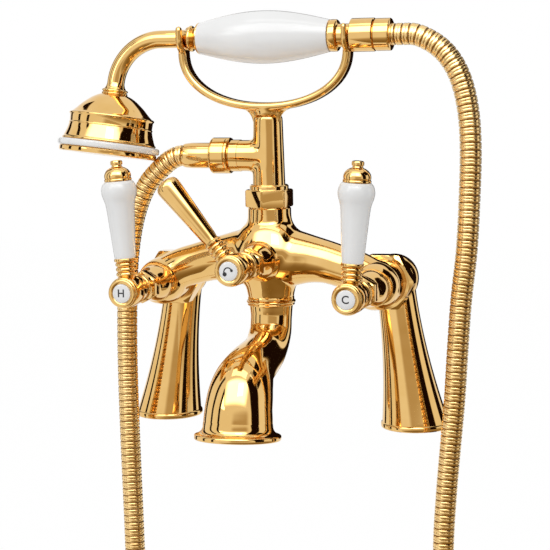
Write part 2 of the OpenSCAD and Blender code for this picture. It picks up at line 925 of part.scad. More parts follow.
// Bores of a hub: spindle socket, screw hole and index recess
module hub_bores(front) {
    back = hub_back(front);
    bar(spindle_d + 2 * thread_gap, back - cut, back + socket_depth);
    bar(screw_d + 4 * thread_gap, back, back + hub_len);
    bar(recess_d, back + socket_depth + web_t, back + hub_len + cut);
}

// Neck above a hub, pointing along the lever: a stem with beads and a top flange
module beaded_neck(length, stem_d, beads) {
    bead_d = 3.4;
    first = hub_d / 2 + bead_d / 2;
    last = length - flange_t - bead_d / 2;
    bar(stem_d, hub_d / 4, length);
    for (i = [0:beads - 1])
        translate([0, 0, first + (last - first) * i / (beads - 1)])
            rotate_extrude() translate([stem_d / 2, 0]) circle(d = bead_d, $fn = 24);
}

// Turns the lever's own axis to point up from the hub, leaning to the right by lean degrees
module along_lever(front, lean) {
    translate([0, 0, hub_back(front) + hub_mid]) rotate([0, 0, -lean]) rotate([-90, 0, 0]) children();
}

module lever_hub(side) {
    stem_d = 2 * stud_d;
    seat_d = grip_foot_d + bevel;
    color(gold) at_valve(side) difference() {
        union() {
            turned(hub_d, hub_back(barrel_front), hub_back(barrel_front) + hub_len);
            along_lever(barrel_front, side * lever_lean) {
                beaded_neck(lever_neck_len, stem_d, 3);
                turned(seat_d, lever_neck_len - flange_t, lever_neck_len);
            }
        }
        hub_bores(barrel_front);
        along_lever(barrel_front, side * lever_lean)
            bar(stud_d + 2 * thread_gap, recess_d / 2 + 1, lever_neck_len + cut);
    }
}

module lever_hub_hot() {
    lever_hub(-1);
}

module lever_hub_cold() {
    lever_hub(1);
}

module lever_grip(side) {
    foot_r = grip_foot_d / 2;
    head_r = grip_head_d / 2;
    swell = head_r - foot_r;
    outline = open_curve([
        [foot_r, 0], [foot_r + 0.13 * swell, 0.16 * grip_len],
        [foot_r + 0.32 * swell, 0.4 * grip_len], [foot_r + 0.49 * swell, 0.66 * grip_len],
        [foot_r + 0.74 * swell, 0.77 * grip_len], [head_r, 0.87 * grip_len],
        [foot_r + 0.83 * swell, 0.96 * grip_len], [finial_d / 2 + bevel, grip_len]
    ], 4);
    color(porcelain) at_valve(side) along_lever(barrel_front, side * lever_lean)
        translate([0, 0, lever_neck_len]) difference() {
            rotate_extrude() polygon(concat([[0, 0]], outline, [[0, grip_len]]));
            bar(stud_d + 2 * moving_gap, -cut, grip_len + cut);
        }
}

module lever_grip_hot() {
    lever_grip(-1);
}

module lever_grip_cold() {
    lever_grip(1);
}

// Domed cap with a button, on the stud that ties the grip to the hub
module finial(side) {
    steps = 6;
    foot = lever_neck_len + grip_len;
    rim_h = 3;
    button_d = 7;
    dome_h = finial_len - rim_h - button_d * 0.7;
    dome_r = finial_d / 2 - button_d / 2 + 1;
    color(gold) at_valve(side) along_lever(barrel_front, side * lever_lean) {
        translate([0, 0, foot]) {
            rotate_extrude()
                polygon(concat(
                    [[0, 0], [finial_d / 2, 0], [finial_d / 2, rim_h]],
                    [for (i = [1:steps]) let (t = 90 * i / steps)
                        [finial_d / 2 - dome_r * (1 - cos(t)), rim_h + dome_h * sin(t)]],
                    [[0, rim_h + dome_h]]
                ));
            translate([0, 0, finial_len - button_d / 2]) sphere(d = button_d);
        }
        bar(stud_d, recess_d / 2 + 2, foot + 1);
    }
}

module finial_hot() {
    finial(-1);
}

module finial_cold() {
    finial(1);
}

module handle_screw(front) {
    seat = hub_back(front) + socket_depth + web_t;
    color(steel) difference() {
        union() {
            bar(screw_d, spindle_end(front) - screw_len + 1, seat);
            turned(screw_head_d, seat, seat + screw_head_t);
        }
        translate([0, 0, seat + 1]) cylinder(d = screw_key_d, h = screw_head_t, $fn = 6);
    }
}

module handle_screw_hot() {
    at_valve(-1) handle_screw(barrel_front);
}

module handle_screw_cold() {
    at_valve(1) handle_screw(barrel_front);
}

module handle_screw_diverter() {
    at_diverter() handle_screw(diverter_front);
}

index_t = 1.4;

// Ring in front of a hub, with a spigot in the hub's recess and a pocket for the disc
module index_bezel(front) {
    face = hub_back(front) + hub_len;
    color(gold) difference() {
        union() {
            turned(bezel_d, face, face + bezel_t);
            bar(recess_d - 2 * thread_gap, face - 2, face + cut);
        }
        bar(index_d + 2 * thread_gap, face + bezel_t - index_t, face + bezel_t + cut);
        bar(screw_head_d + 1, face - 2 - cut, face + bezel_t);
    }
}

module index_bezel_hot() {
    at_valve(-1) index_bezel(barrel_front);
}

module index_bezel_cold() {
    at_valve(1) index_bezel(barrel_front);
}

module index_bezel_diverter() {
    at_diverter() index_bezel(diverter_front);
}

module index_disc(front) {
    face = hub_back(front) + hub_len + bezel_t;
    color(porcelain) turned(index_d, face - index_t, face + bevel);
}

module index_disc_hot() {
    at_valve(-1) index_disc(barrel_front);
}

module index_disc_cold() {
    at_valve(1) index_disc(barrel_front);
}

module index_disc_diverter() {
    at_diverter() index_disc(diverter_front);
}

// Diverter

spool_back = moving_gap - diverter_back;
spool_front = diverter_front / 2;
ring_d = 1.6;
ring_inset = 3;
ring_places = [spool_back + ring_inset, spool_front - ring_inset];
ring_line_r = spool_d / 2 - ring_d / 2 + running_gap / 2;

module diverter_sleeve() {
    color(brass) at_diverter() difference() {
        union() {
            bar(cartridge_d, -diverter_back, diverter_front);
            headwork(diverter_front);
        }
        bar(spool_d + 4 * running_gap, -diverter_back - cut, spool_front + moving_gap);
        bar(spindle_d + 2 * running_gap, 0, diverter_front + headwork_hex_t + headwork_neck_len + cut);
        for (turn = [0, 90])
            rotate([0, 0, turn])
                rotate([0, 90, 0])
                    translate([0, 0, -chamber_d])
                        cylinder(d = arm_water_d - 1, h = 2 * chamber_d);
    }
}

module diverter_spindle() {
    color(brass) at_diverter() {
        difference() {
            bar(spool_d, spool_back, spool_front);
            for (z = ring_places)
                pipe(2 * spool_d, 2 * ring_line_r - ring_d - 2 * running_gap,
                    z - ring_d / 2 - thread_gap, z + ring_d / 2 + thread_gap);
            for (turn = [0, 90])
                rotate([0, 0, turn]) rotate([0, 90, 0]) bar(arm_water_d - 2, 0, spool_d);
        }
        spindle_shaft(spool_front, diverter_front);
    }
}

module diverter_rings() {
    color(rubber) at_diverter()
        for (z = ring_places)
            translate([0, 0, z])
                rotate_extrude() translate([ring_line_r, 0]) circle(d = ring_d, $fn = 24);
}

module diverter_lever() {
    neck_len = 26;
    end_r = diverter_end_d / 2;
    dome_h = 5;
    steps = 6;
    color(gold) at_diverter() difference() {
        union() {
            turned(hub_d, hub_back(diverter_front), hub_back(diverter_front) + hub_len);
            along_lever(diverter_front, -diverter_lean) {
                beaded_neck(neck_len, diverter_root_d, 3);
                rotate_extrude()
                    polygon(concat(
                        [[0, neck_len - flange_t], [diverter_root_d / 2, neck_len - flange_t]],
                        [for (i = [0:steps]) let (t = 90 * i / steps)
                            [end_r * (0.55 + 0.45 * cos(t)),
                                diverter_lever_len - dome_h * (1 - sin(t))]],
                        [[0, diverter_lever_len]]
                    ));
            }
        }
        hub_bores(diverter_front);
    }
}

// Riser

module riser_nut() {
    from = neck_top + nut_gap;
    to = riser_lip_z + nut_lip_t;
    color(gold) at_core() difference() {
        union() {
            rotate([0, 0, riser_nut_turn]) hexagon(riser_flats, from, to);
            turned(riser_flats - 2, to - bevel, to - bevel + riser_collar_h);
        }
        bar(riser_thread_d + 2 * thread_gap, from - cut, riser_lip_z);
        bar(column_foot_d + 2 * thread_gap, from, to + riser_collar_h);
    }
}

module riser_column() {
    color(gold) difference() {
        union() {
            at_core() {
                bar(column_flange_d, column_z, column_z + flange_t);
                translate([0, 0, column_z])
                    cylinder(d1 = column_foot_d, d2 = column_top_d, h = column_len);
            }
            at_outlet() {
                turned(outlet_d, 0, outlet_reach);
                bar(outlet_thread_d, 0, outlet_end);
            }
        }
        at_core() {
            bar(column_water_d, column_z - cut, outlet_z);
            bar(spigot_d + 2 * thread_gap, column_top - spigot_len, column_top + cut);
        }
        at_outlet() {
            bar(column_water_d, 0, outlet_end);
            bar(check_valve_d + 2 * thread_gap, outlet_end - check_valve_len, outlet_end + cut);
        }
    }
}

// Non-return valve: a sleeve with a seat and a poppet
module check_valve() {
    wall = 1.5;
    from = outlet_end - check_valve_len;
    seat = from + 2;
    poppet_t = 2;
    color(steel) at_outlet() {
        difference() {
            bar(check_valve_d, from, outlet_end);
            bar(check_valve_d - 2 * wall, seat, outlet_end + cut);
            bar(check_valve_d - 4 * wall, from - cut, outlet_end);
        }
        bar(check_valve_d - 3 * wall, seat, seat + poppet_t);
    }
}

// Cradle

ear_drop = 1.6;
bow_z = hand_z - prong_rise - ear_drop;
bow_bottom = column_top + cradle_boss_h;

// Half ring of an ellipse, open upward, drawn in X and Z
function half_ellipse(a, b, from, to, steps) = [
    for (i = [0:steps]) let (t = from + (to - from) * i / steps) [a * cos(t), b * sin(t)]
];

module bow() {
    steps = 32;
    a = fork_x;
    b = bow_z - bow_bottom;
    t = cradle_t / 2;
    translate([0, cradle_y + cradle_w / 2, bow_z])
        rotate([90, 0, 0])
            linear_extrude(cradle_w)
                polygon(concat(
                    half_ellipse(a + t, b, 180, 360, steps),
                    half_ellipse(a - t, b - cradle_t, 360, 180, steps)
                ));
}

// Upright ear with a round-bottomed notch for a neck of the hand shower
module fork(x, neck_d) {
    notch_d = neck_d + 2 * moving_gap;
    at_hand() translate([0, 0, x - cradle_t / 2]) difference() {
        union() {
            cylinder(d = fork_d, h = cradle_t);
            translate([0, -cradle_w / 2, 0]) cube([hand_z - bow_z, cradle_w, cradle_t]);
        }
        translate([0, 0, -cut]) cylinder(d = notch_d, h = cradle_t + 2 * cut);
        translate([-fork_d, -notch_d / 2, -cut]) cube([fork_d, notch_d, cradle_t + 2 * cut]);
        translate([-fork_d - prong_rise, -fork_d, -cut]) cube([fork_d, 2 * fork_d, cradle_t + 2 * cut]);
    }
}

module cradle() {
    boss_d = column_top_d - 2 * bevel;
    color(gold) {
        bow();
        fork(-fork_x, front_neck_d);
        fork(fork_x, rear_neck_d);
        at_core() bar(boss_d, column_top, bow_bottom + cradle_t / 2);
        at_core() bar(spigot_d, column_top - spigot_len + 1, column_top + 1);
    }
}

// Hand shower

module hand_grip() {
    steps = 12;
    end_r = handle_end_d / 2;
    swell = (handle_mid_d - handle_end_d) / 2;
    color(porcelain) at_hand() difference() {
        rotate_extrude()
            polygon(concat(
                [[0, -handle_end]],
                [for (i = [-steps:steps]) let (t = i / steps)
                    [end_r + swell * cos(90 * t), handle_end * t]],
                [[0, handle_end]]
            ));
        bar(core_tube_d + 2 * moving_gap, -handle_end - cut, handle_end + cut);
    }
}

tube_grip = 4;
core_tube_bore = core_tube_d - 2 * core_tube_wall;

module hand_tube() {
    color(brass) at_hand()
        pipe(core_tube_d, core_tube_bore, -handle_end - tube_grip, handle_end + tube_grip);
}

// Turned moulding between the grip and the front fork, with the neck that rests in the fork
module hand_front_collar() {
    cup_r = handle_end_d / 2;
    cup_end = handle_end + 2;
    cone_end = cup_end + 2;
    cone_r = front_neck_d / 2 + 1;
    ring_t = 3.2;
    ring_d = front_neck_d + 5;
    color(gold) at_hand() difference() {
        mirror([0, 0, 1]) {
            rotate_extrude()
                polygon([
                    [0, handle_end], [cup_r - bevel, handle_end], [cup_r, handle_end + bevel],
                    [cup_r, cup_end], [cone_r, cone_end], [0, cone_end]
                ]);
            bar(cone_r * 2, cone_end, cone_end + bevel);
            turned(ring_d, cone_end + bevel, cone_end + bevel + ring_t);
            bar(front_neck_d, handle_end, arm_start);
        }
        bar(core_tube_d + 2 * thread_gap, -handle_end - tube_grip, -handle_end + cut);
        bar(core_tube_bore, -arm_start - cut, -handle_end);
        bar(arm_spigot_d + 2 * thread_gap, -arm_start - cut, -arm_start + arm_socket);
    }
}

module hand_rear_collar() {
    color(gold) at_hand() difference() {
        union() {
            turned(handle_end_d, handle_end, handle_end + rear_disc_t);
            bar(rear_neck_d, handle_end, connector_end);
            turned(connector_d, connector_x, connector_end);
            bar(connector_thread_d, connector_end - cut, connector_end + connector_thread_len);
        }
        bar(core_tube_d + 2 * thread_gap, handle_end - cut, handle_end + tube_grip);
        bar(core_tube_bore, handle_end, connector_end + connector_thread_len + cut);
    }
}

// Bent pipe from the front collar to the bell, whose end sleeve laps over the bend
module hand_arm() {
    lap = 1;
    lap_t = 0.2;
    color(gold) {
        at_arm_bend() {
            translate([0, 0, arm_bend_r]) rotate([0, 90, 0]) {
                pipe(arm_d, arm_bore_d, 0, arm_straight);
                pipe(arm_spigot_d, arm_bore_d, arm_straight, arm_straight + arm_socket);
            }
            rotate([90, 0, 0])
                rotate([0, 0, 90])
                    rotate_extrude(angle = arm_bend)
                        translate([arm_bend_r, 0])
                            difference() {
                                circle(d = arm_d);
                                circle(d = arm_bore_d);
                            }
        }
        at_bell() {
            pipe(arm_d + 2 * lap_t, arm_bore_d - 2 * lap_t, -lap, arm_end);
            pipe(arm_spigot_d, arm_bore_d - 2 * lap_t, arm_end, arm_end + arm_socket);
        }
    }
}

// The bell's crown: its share of the bell's height, its small diameter and its arc in degrees
crown_t = 0.53;
crown_d = 25;
crown_arc = 40;
shoulder_d = bell_d - 6;

module hand_bell() {
    steps = 8;
    flange_d = 17.6;
    neck_t = 5.4;
    edge_t = 2;
    band_in = 1;
    band_t = 3.5;
    rim_t = 2;
    foot = arm_end + neck_t;
    crown_h = crown_t * bell_h - neck_t;
    shoulder = foot + crown_h;
    shoulder_r = shoulder_d / 2;
    band = shoulder + edge_t + band_in / 2;
    crown = [for (i = [0:steps]) let (t = i / steps)
        [crown_d / 2 + (shoulder_r - crown_d / 2) * sin(crown_arc * t) / sin(crown_arc), foot + crown_h * t]];
    inside = [for (p = crown) [p[0] - bell_wall, p[1] + bell_wall]];
    color(gold) at_bell() difference() {
        union() {
            rotate_extrude()
                polygon(concat(
                    [[0, foot]], crown,
                    [
                        [shoulder_r, shoulder + edge_t], [shoulder_r - band_in, band],
                        [shoulder_r - band_in, band + band_t], [bell_d / 2, bell_rim - rim_t],
                        [bell_d / 2, bell_rim], [0, bell_rim]
                    ]
                ));
            turned(flange_d, arm_end, foot + 1);
        }
        rotate_extrude()
            polygon(concat(
                [[0, inside[0][1]]], inside,
                [[plate_thread_d / 2 + thread_gap, band + bevel],
                    [plate_thread_d / 2 + thread_gap, bell_rim + cut], [0, bell_rim + cut]]
            ));
        bar(arm_spigot_d + 2 * thread_gap, arm_end - cut, arm_end + arm_socket);
        bar(arm_bore_d, arm_end, foot + bell_wall + cut);
    }
}

plate_skirt = 7;
spreader_t = 2;

// Perforated disc above the face plate
module hand_spreader() {
    top = bell_rim - plate_skirt;
    holes = 12;
    hole_d = 4;
    color(brass) at_bell() difference() {
        bar(plate_thread_d - 2 * thread_gap, top - spreader_t, top);
        for (i = [0:holes - 1])
            rotate([0, 0, 360 / holes * i])
                translate([plate_thread_d / 3, 0, top - spreader_t - cut])
                    cylinder(d = hole_d, h = spreader_t + 2 * cut, $fn = 24);
    }
}

module hand_ring() {
    color(porcelain) at_bell() difference() {
        turned(bell_ring_d, bell_rim, plate_face);
        bar(plate_thread_d + 2 * thread_gap, bell_rim - cut, plate_face + cut);
    }
}

// Face plate with its threaded skirt and rings of spray holes
module hand_plate() {
    skirt_wall = 2.5;
    floor_t = 1.8;
    row_step = 6;
    color(gold) at_bell() difference() {
        union() {
            turned(plate_d, plate_face, plate_face + plate_t);
            bar(plate_thread_d, bell_rim - plate_skirt, plate_face + cut);
        }
        bar(plate_thread_d - 2 * skirt_wall, bell_rim - plate_skirt - cut, plate_face + plate_t - floor_t);
        for (row = [1:3], i = [0:8 * row - 1])
            rotate([0, 0, 45 * i / row])
                translate([row_step * row, 0, plate_face])
                    cylinder(d = spray_d, h = plate_t + cut, $fn = 16);
    }
}

// Hose and its ends

module hose_collar_nut() {
    from = outlet_reach + nut_gap;
    lip = ferrule_face + flange_t;
    color(gold) at_outlet() difference() {
        turned(collar_nut_d, from, lip + nut_lip_t);
        bar(outlet_thread_d + 2 * thread_gap, from - cut, lip);
        bar(ferrule_d - 1 + 2 * thread_gap, from, lip + nut_lip_t + cut);
    }
}

module hose_ferrule() {
    lip = ferrule_face + flange_t;
    shoulder = lip + nut_lip_t + nut_gap;
    color(gold) at_outlet() difference() {
        union() {
            bar(ferrule_flange_d, ferrule_face, lip);
            bar(ferrule_d - 1, ferrule_face, shoulder + cut);
            turned(ferrule_d, shoulder, hose_mouth);
        }
        bar(hose_bore_d, ferrule_face - cut, hose_start + cut);
        bar(hose_socket_d, hose_start, hose_mouth + cut);
    }
}

module hose_upper_nut() {
    color(gold) at_hand() difference() {
        turned(hose_nut_d, connector_end + nut_gap, hose_end + nut_lip_t);
        bar(connector_thread_d + 2 * thread_gap, connector_end, hose_end);
        bar(hose_socket_d, connector_end, hose_end + nut_lip_t + cut);
    }
}

// Flanged tube that the hose's end is pressed on
module hose_insert() {
    color(brass) at_hand() {
        pipe(connector_thread_d - flange_room, insert_bore, insert_face, hose_end);
        pipe(insert_d, insert_bore, hose_end, hose_exit);
    }
}

module hose_washer() {
    color(rubber) at_hand()
        pipe(connector_thread_d, core_tube_bore, insert_face - washer_t, insert_face);
}

lower_mouth = [-hose_mouth, -body_reach, outlet_z];
upper_mouth = [hose_exit, cradle_y, hand_z];
lower_run = [for (p = hose_left) lower_mouth + p];
upper_run = [for (i = [len(hose_right) - 1:-1:0]) upper_mouth + hose_right[i]];
hose_route = concat(lower_run, upper_run);

// A guide level with the next point makes the curve leave each socket straight
function level_guide(mouth, next, inward) = [mouth.x + inward, mouth.y, next.z];

hose_line = concat(
    [[-hose_start, -body_reach, outlet_z]],
    curve(
        concat(
            [level_guide(lower_mouth, lower_run[1], hose_d)],
            hose_route,
            [level_guide(upper_mouth, upper_run[len(upper_run) - 2], -hose_d)]
        ),
        8
    ),
    [[hose_end, cradle_y, hand_z]]
);
hose_stations = stations(hose_line);
hose_len = hose_stations[len(hose_line) - 1];
hose_axes = [for (axis = [0:2]) [for (i = [0:len(hose_line) - 1]) [hose_stations[i], hose_line[i][axis]]]];
function hose_at(s) = [for (axis = [0:2]) lookup(s, hose_axes[axis])];

module shower_hose() {
    rings = 2 * hose_ribs;
    bore_every = 4;
    centres = [for (i = [0:rings]) hose_at(hose_len * i / rings)];
    ways = [for (i = [0:rings]) heading(centres, i)];
    echo(hose_length = hose_len, hose_bottom = min([for (p = centres) p.z]));
    color(gold) tube(
        [for (i = [0:rings])
            ring(centres[i], ways[i], [0, 1, 0], hose_d / 2 - (i % 2 == 0 ? 0 : hose_groove), hose_sides)],
        [for (i = [0:bore_every:rings])
            ring(centres[i], ways[i], [0, 1, 0], hose_bore_d / 2, hose_sides)],
        hose_sides
    );
}

leg_left();
leg_right();
foot_seals();
union_nut_left();
union_nut_right();
union_washers();
mixer_body();
spout();
spout_collar();
spout_nipple();
spout_seal();
bonnet_hot();
bonnet_cold();
bonnet_diverter();
cartridge_hot();
cartridge_cold();
cartridge_seals();
fixed_discs();
moving_disc_hot();
moving_disc_cold();
spindle_hot();
spindle_cold();
lever_hub_hot();
lever_hub_cold();
lever_grip_hot();
lever_grip_cold();
finial_hot();
finial_cold();
handle_screw_hot();
handle_screw_cold();
index_bezel_hot();
index_bezel_cold();
index_disc_hot();
index_disc_cold();
diverter_sleeve();
diverter_spindle();
diverter_rings();
diverter_lever();
handle_screw_diverter();
index_bezel_diverter();
index_disc_diverter();
riser_nut();
riser_column();
check_valve();
cradle();
hand_grip();
hand_tube();
hand_front_collar();
hand_rear_collar();
hand_arm();
hand_bell();
hand_spreader();
hand_ring();
hand_plate();
hose_collar_nut();
hose_ferrule();
hose_upper_nut();
hose_insert();
hose_washer();
shower_hose();
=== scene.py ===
# %% [markdown]
# # A bath shower mixer in gold and porcelain
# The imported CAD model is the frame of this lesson: every piece below is placed by its
# axes and boxes, in metres. Most of the real mixer is turned on a lathe or cast and then
# polished, so most cells turn a profile round an axis, and the castings are melted
# together from turned pieces. Polished metal shows every facet, so even a right CAD shape
# is copied, merged and shaded smooth before it is shown.

# %% Frame
import json
import math
from contextlib import contextmanager

import bpy
from mathutils import Matrix, Vector

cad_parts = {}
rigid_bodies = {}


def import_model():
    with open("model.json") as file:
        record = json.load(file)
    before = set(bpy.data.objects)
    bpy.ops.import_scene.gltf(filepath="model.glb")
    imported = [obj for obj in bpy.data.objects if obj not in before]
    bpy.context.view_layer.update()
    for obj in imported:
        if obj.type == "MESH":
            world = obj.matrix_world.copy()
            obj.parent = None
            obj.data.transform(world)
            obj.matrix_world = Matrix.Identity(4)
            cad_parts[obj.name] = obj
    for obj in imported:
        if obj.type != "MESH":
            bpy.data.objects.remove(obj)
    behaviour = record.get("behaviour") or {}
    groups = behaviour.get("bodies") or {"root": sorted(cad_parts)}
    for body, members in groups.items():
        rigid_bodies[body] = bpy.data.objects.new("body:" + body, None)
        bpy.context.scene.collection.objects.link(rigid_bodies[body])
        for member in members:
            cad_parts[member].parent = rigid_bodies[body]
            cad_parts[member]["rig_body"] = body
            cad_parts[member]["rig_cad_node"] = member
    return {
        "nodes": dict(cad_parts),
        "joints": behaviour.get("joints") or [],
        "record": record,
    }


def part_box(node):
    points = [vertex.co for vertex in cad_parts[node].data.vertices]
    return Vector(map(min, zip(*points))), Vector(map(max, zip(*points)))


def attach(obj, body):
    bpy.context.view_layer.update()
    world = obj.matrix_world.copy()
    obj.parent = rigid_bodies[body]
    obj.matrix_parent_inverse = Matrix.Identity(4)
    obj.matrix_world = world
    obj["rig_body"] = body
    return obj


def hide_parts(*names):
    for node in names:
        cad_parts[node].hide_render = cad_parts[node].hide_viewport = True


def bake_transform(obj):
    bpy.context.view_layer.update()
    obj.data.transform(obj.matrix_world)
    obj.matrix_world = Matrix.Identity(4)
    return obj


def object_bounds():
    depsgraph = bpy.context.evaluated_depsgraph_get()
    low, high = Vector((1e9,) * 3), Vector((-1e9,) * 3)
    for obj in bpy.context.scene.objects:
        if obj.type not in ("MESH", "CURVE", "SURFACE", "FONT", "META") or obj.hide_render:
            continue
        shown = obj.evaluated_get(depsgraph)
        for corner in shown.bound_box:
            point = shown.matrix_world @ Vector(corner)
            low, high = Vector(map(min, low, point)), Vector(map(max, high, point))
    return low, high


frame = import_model()
cad_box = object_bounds()
MM = 0.001
joints = {j["name"]: j for j in frame["joints"]}
print("CAD nodes:", len(frame["nodes"]), "joints:", list(joints))

# %% [markdown]
# ## Camera
# The photograph was taken from a little to the right and a little above, with a long lens.
# A camera could be dragged into place by eye, but its angles and its focal length were
# worked out from the two feet, so they are written down and turned into a matrix.

# %% Camera
AZIMUTH, ELEVATION, ROLL = (math.radians(a) for a in (19, 7, 1))
PHOTO_PX, FOCAL_PX, SENSOR_MM = 550, 1720, 36
AIM = Vector((-9, 0, 101)) * MM
DISTANCE = 1188 * MM

camera_data = bpy.data.cameras.new("photo_camera")
camera_data.sensor_width = SENSOR_MM
camera_data.lens = SENSOR_MM * FOCAL_PX / PHOTO_PX
camera = bpy.data.objects.new("photo_camera", camera_data)
bpy.context.collection.objects.link(camera)
look = (
    Matrix.Rotation(AZIMUTH, 4, "Z")
    @ Matrix.Rotation(math.pi / 2 - ELEVATION, 4, "X")
    @ Matrix.Rotation(-ROLL, 4, "Z")
)
camera.matrix_world = Matrix.Translation(AIM + look.to_3x3() @ Vector((0, 0, DISTANCE))) @ look
bpy.context.scene.camera = camera
print("camera at", [round(x, 3) for x in camera.matrix_world.translation])

# %% [markdown]
# ## Route of the hose
# The hose leaves the riser's sleeve, hangs in a long loop and comes back up to the nut of
# the hand shower. A free hose could be simulated, but the photograph shows how it hangs,
# so its route is a short list of points on each side: offsets in millimetres from the
# mouth of the fitting there, down to the bottom of the loop.

# %% Route of the hose
HOSE_D = 14 * MM
LEFT_RUN = [
    (0, 0, 0), (-9, 0, -2.5), (-18, 0, -9.5), (-27, 0, -19), (-33.5, 0, -31), (-38.5, 0, -46),
    (-42, 0, -64), (-44, 0, -84), (-45.5, 0, -116), (-46, 0, -152), (-45.5, 0, -205),
    (-44.5, 0, -260), (-44, 0, -320), (-44, 0, -410), (-44, 0, -505), (-29, 0, -560),
    (11, 0, -600), (67, 0, -615),
]
RIGHT_RUN = [
    (0, 0, 0), (14, 0, -5), (25, 0, -14.5), (33, 0, -29), (37.5, 1, -49), (39, 1, -73),
    (38, 2, -103), (36, 2, -138), (32, 3, -171), (29.5, 3, -204), (27, 4, -238),
    (24, 4, -270), (21, 4, -304), (19, 4, -340), (18, 4, -420), (18, 4, -500),
    (17, 4, -585), (3, 4, -639), (-37, 4, -679),
]
print("points on the left and right:", len(LEFT_RUN), len(RIGHT_RUN))

# %% [markdown]
# ## Line of the hose
# One smooth cubic curve runs through all the points of the route, so the hose has no kink.
# Both ends go on straight for one diameter into their fittings, which grip them there.

# %% Line of the hose
LINE_STEPS = 8


def smooth_line(points, steps):
    """Points on a smooth curve; the first and the last given point only guide it."""
    line = []
    for a, b, c, d in zip(points, points[1:], points[2:], points[3:]):
        for u in (k / steps for k in range(steps)):
            cubic = 3 * b - a - 3 * c + d
            square = 2 * a - 5 * b + 4 * c - d
            line.append((2 * b + (c - a) * u + square * u**2 + cubic * u**3) / 2)
    return line + [points[-2]]


def middle(node):
    low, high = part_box(node)
    return (low + high) / 2


lower_mouth, upper_mouth = middle("hose_ferrule"), middle("hose_insert")
lower_mouth.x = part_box("hose_ferrule")[0].x
upper_mouth.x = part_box("hose_insert")[1].x
route = [lower_mouth + Vector(p) * MM for p in LEFT_RUN]
route += [upper_mouth + Vector(p) * MM for p in reversed(RIGHT_RUN)]
along = Vector((HOSE_D, 0, 0))
first_guide = Vector((lower_mouth.x + HOSE_D, lower_mouth.y, route[1].z))
last_guide = Vector((upper_mouth.x - HOSE_D, upper_mouth.y, route[-2].z))
hose_line = [lower_mouth + along]
hose_line += smooth_line([first_guide, *route, last_guide], LINE_STEPS)
hose_line += [upper_mouth - along]
hose_len = sum((b - a).length for a, b in zip(hose_line, hose_line[1:]))
print("hose length", round(hose_len, 4), "m")

# %% [markdown]
# ## Small helpers
# Blender's operators act on whatever is selected, so a piece is selected alone before each
# of them, and opened in edit mode where its mesh is worked on. Modifiers are applied at
# once, because the finished piece is a plain mesh. A drawn line is a curve object: it bends
# the hose, and later it becomes the round bars.

# %% Small helpers


def only(piece):
    """Selects one object and nothing else."""
    bpy.ops.object.select_all(action="DESELECT")
    piece.select_set(True)
    bpy.context.view_layer.objects.active = piece


@contextmanager
def edited(piece):
    """Edit mode on one piece, with its whole mesh selected."""
    only(piece)
    bpy.ops.object.mode_set(mode="EDIT")
    bpy.ops.mesh.select_all(action="SELECT")
    yield
    bpy.ops.object.mode_set(mode="OBJECT")


def apply_all(piece):
    only(piece)
    for modifier in list(piece.modifiers):
        bpy.ops.object.modifier_apply(modifier=modifier.name)


def drawn_line(name, points, radii=None):
    """A curve object with one straight-sided spline, optionally with a radius at each point."""
    data = bpy.data.curves.new(name, "CURVE")
    data.dimensions = "3D"
    spline = data.splines.new("POLY")
    spline.points.add(len(points) - 1)
    for point, place, radius in zip(spline.points, points, radii or [1] * len(points)):
        point.co = (*place, 1)
        point.radius = radius
    curve = bpy.data.objects.new(name, data)
    bpy.context.collection.objects.link(curve)
    return curve


print("ready: only, edited, apply_all, drawn_line")

# %% [markdown]
# ## One rib of the hose
# A metal shower hose is a strip wound into a tube whose edges hook into each other. It
# shows one rounded rib after another, with a shallow step in the middle of each and a
# groove between them. Each rib could be a ring of its own, but then the tube would fall
# apart. So one rib is extruded from an open circle, ring by ring, and its groove gets the
# second material slot, a darker gold that paints the shade in the groove.

# %% One rib of the hose
RIB_PITCH = 4.8 * MM
RIB = [
    (0, 6.3), (0.25, 6.78), (0.6, 6.97), (1.2, 7.0), (1.85, 6.97), (2.25, 6.8), (2.65, 6.97),
    (3.3, 7.0), (3.9, 6.97), (4.25, 6.78), (4.5, 6.3), (4.8, 6.3),
]
# Faces nearer the axis than this get the darker groove slot, a painted shade.
GROOVE_SHADE_R = 6.5 * MM
HOSE_SIDES = 24

ribs = round(hose_len / RIB_PITCH)
stretch = hose_len / ribs / RIB_PITCH
bpy.ops.mesh.primitive_circle_add(
    vertices=HOSE_SIDES, radius=RIB[0][1] * MM, rotation=(0, math.pi / 2, 0)
)
hose = bpy.context.object
hose.name = "ribbed_hose"
bpy.ops.object.transform_apply(location=True, rotation=True, scale=True)
with edited(hose):
    for (x0, r0), (x1, r1) in zip(RIB, RIB[1:]):
        step = (x1 - x0) * stretch * MM
        bpy.ops.mesh.extrude_region_move(TRANSFORM_OT_translate={"value": (step, 0, 0)})
        bpy.ops.transform.resize(value=(1, r1 / r0, r1 / r0), center_override=(0, 0, 0))
    bpy.ops.mesh.select_all(action="SELECT")
    bpy.ops.mesh.normals_make_consistent(inside=False)
# The groove faces get the second slot: a darker gold painted as shade in the grooves.
for face in hose.data.polygons:
    face.material_index = int(face.center.yz.length < GROOVE_SHADE_R)
print("one rib has", len(hose.data.polygons), "faces")

# %% [markdown]
# ## Ribs along the line
# An Array repeats the rib over the whole length and merges its ends, and a Curve modifier
# bends the long straight tube along the line.

# %% Ribs along the line
repeat = hose.modifiers.new("ribs", "ARRAY")
repeat.count = ribs
repeat.use_relative_offset = False
repeat.use_constant_offset = True
repeat.constant_offset_displace = (RIB_PITCH * stretch, 0, 0)
repeat.use_merge_vertices = True
repeat.merge_threshold = 0.01 * MM
guide_line = drawn_line("hose_line", hose_line)
bend = hose.modifiers.new("bend", "CURVE")
bend.object = guide_line
bend.deform_axis = "POS_X"
apply_all(hose)
bpy.data.objects.remove(guide_line)
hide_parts("shower_hose")
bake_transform(hose)
print("ribs", ribs, "faces", len(hose.data.polygons))

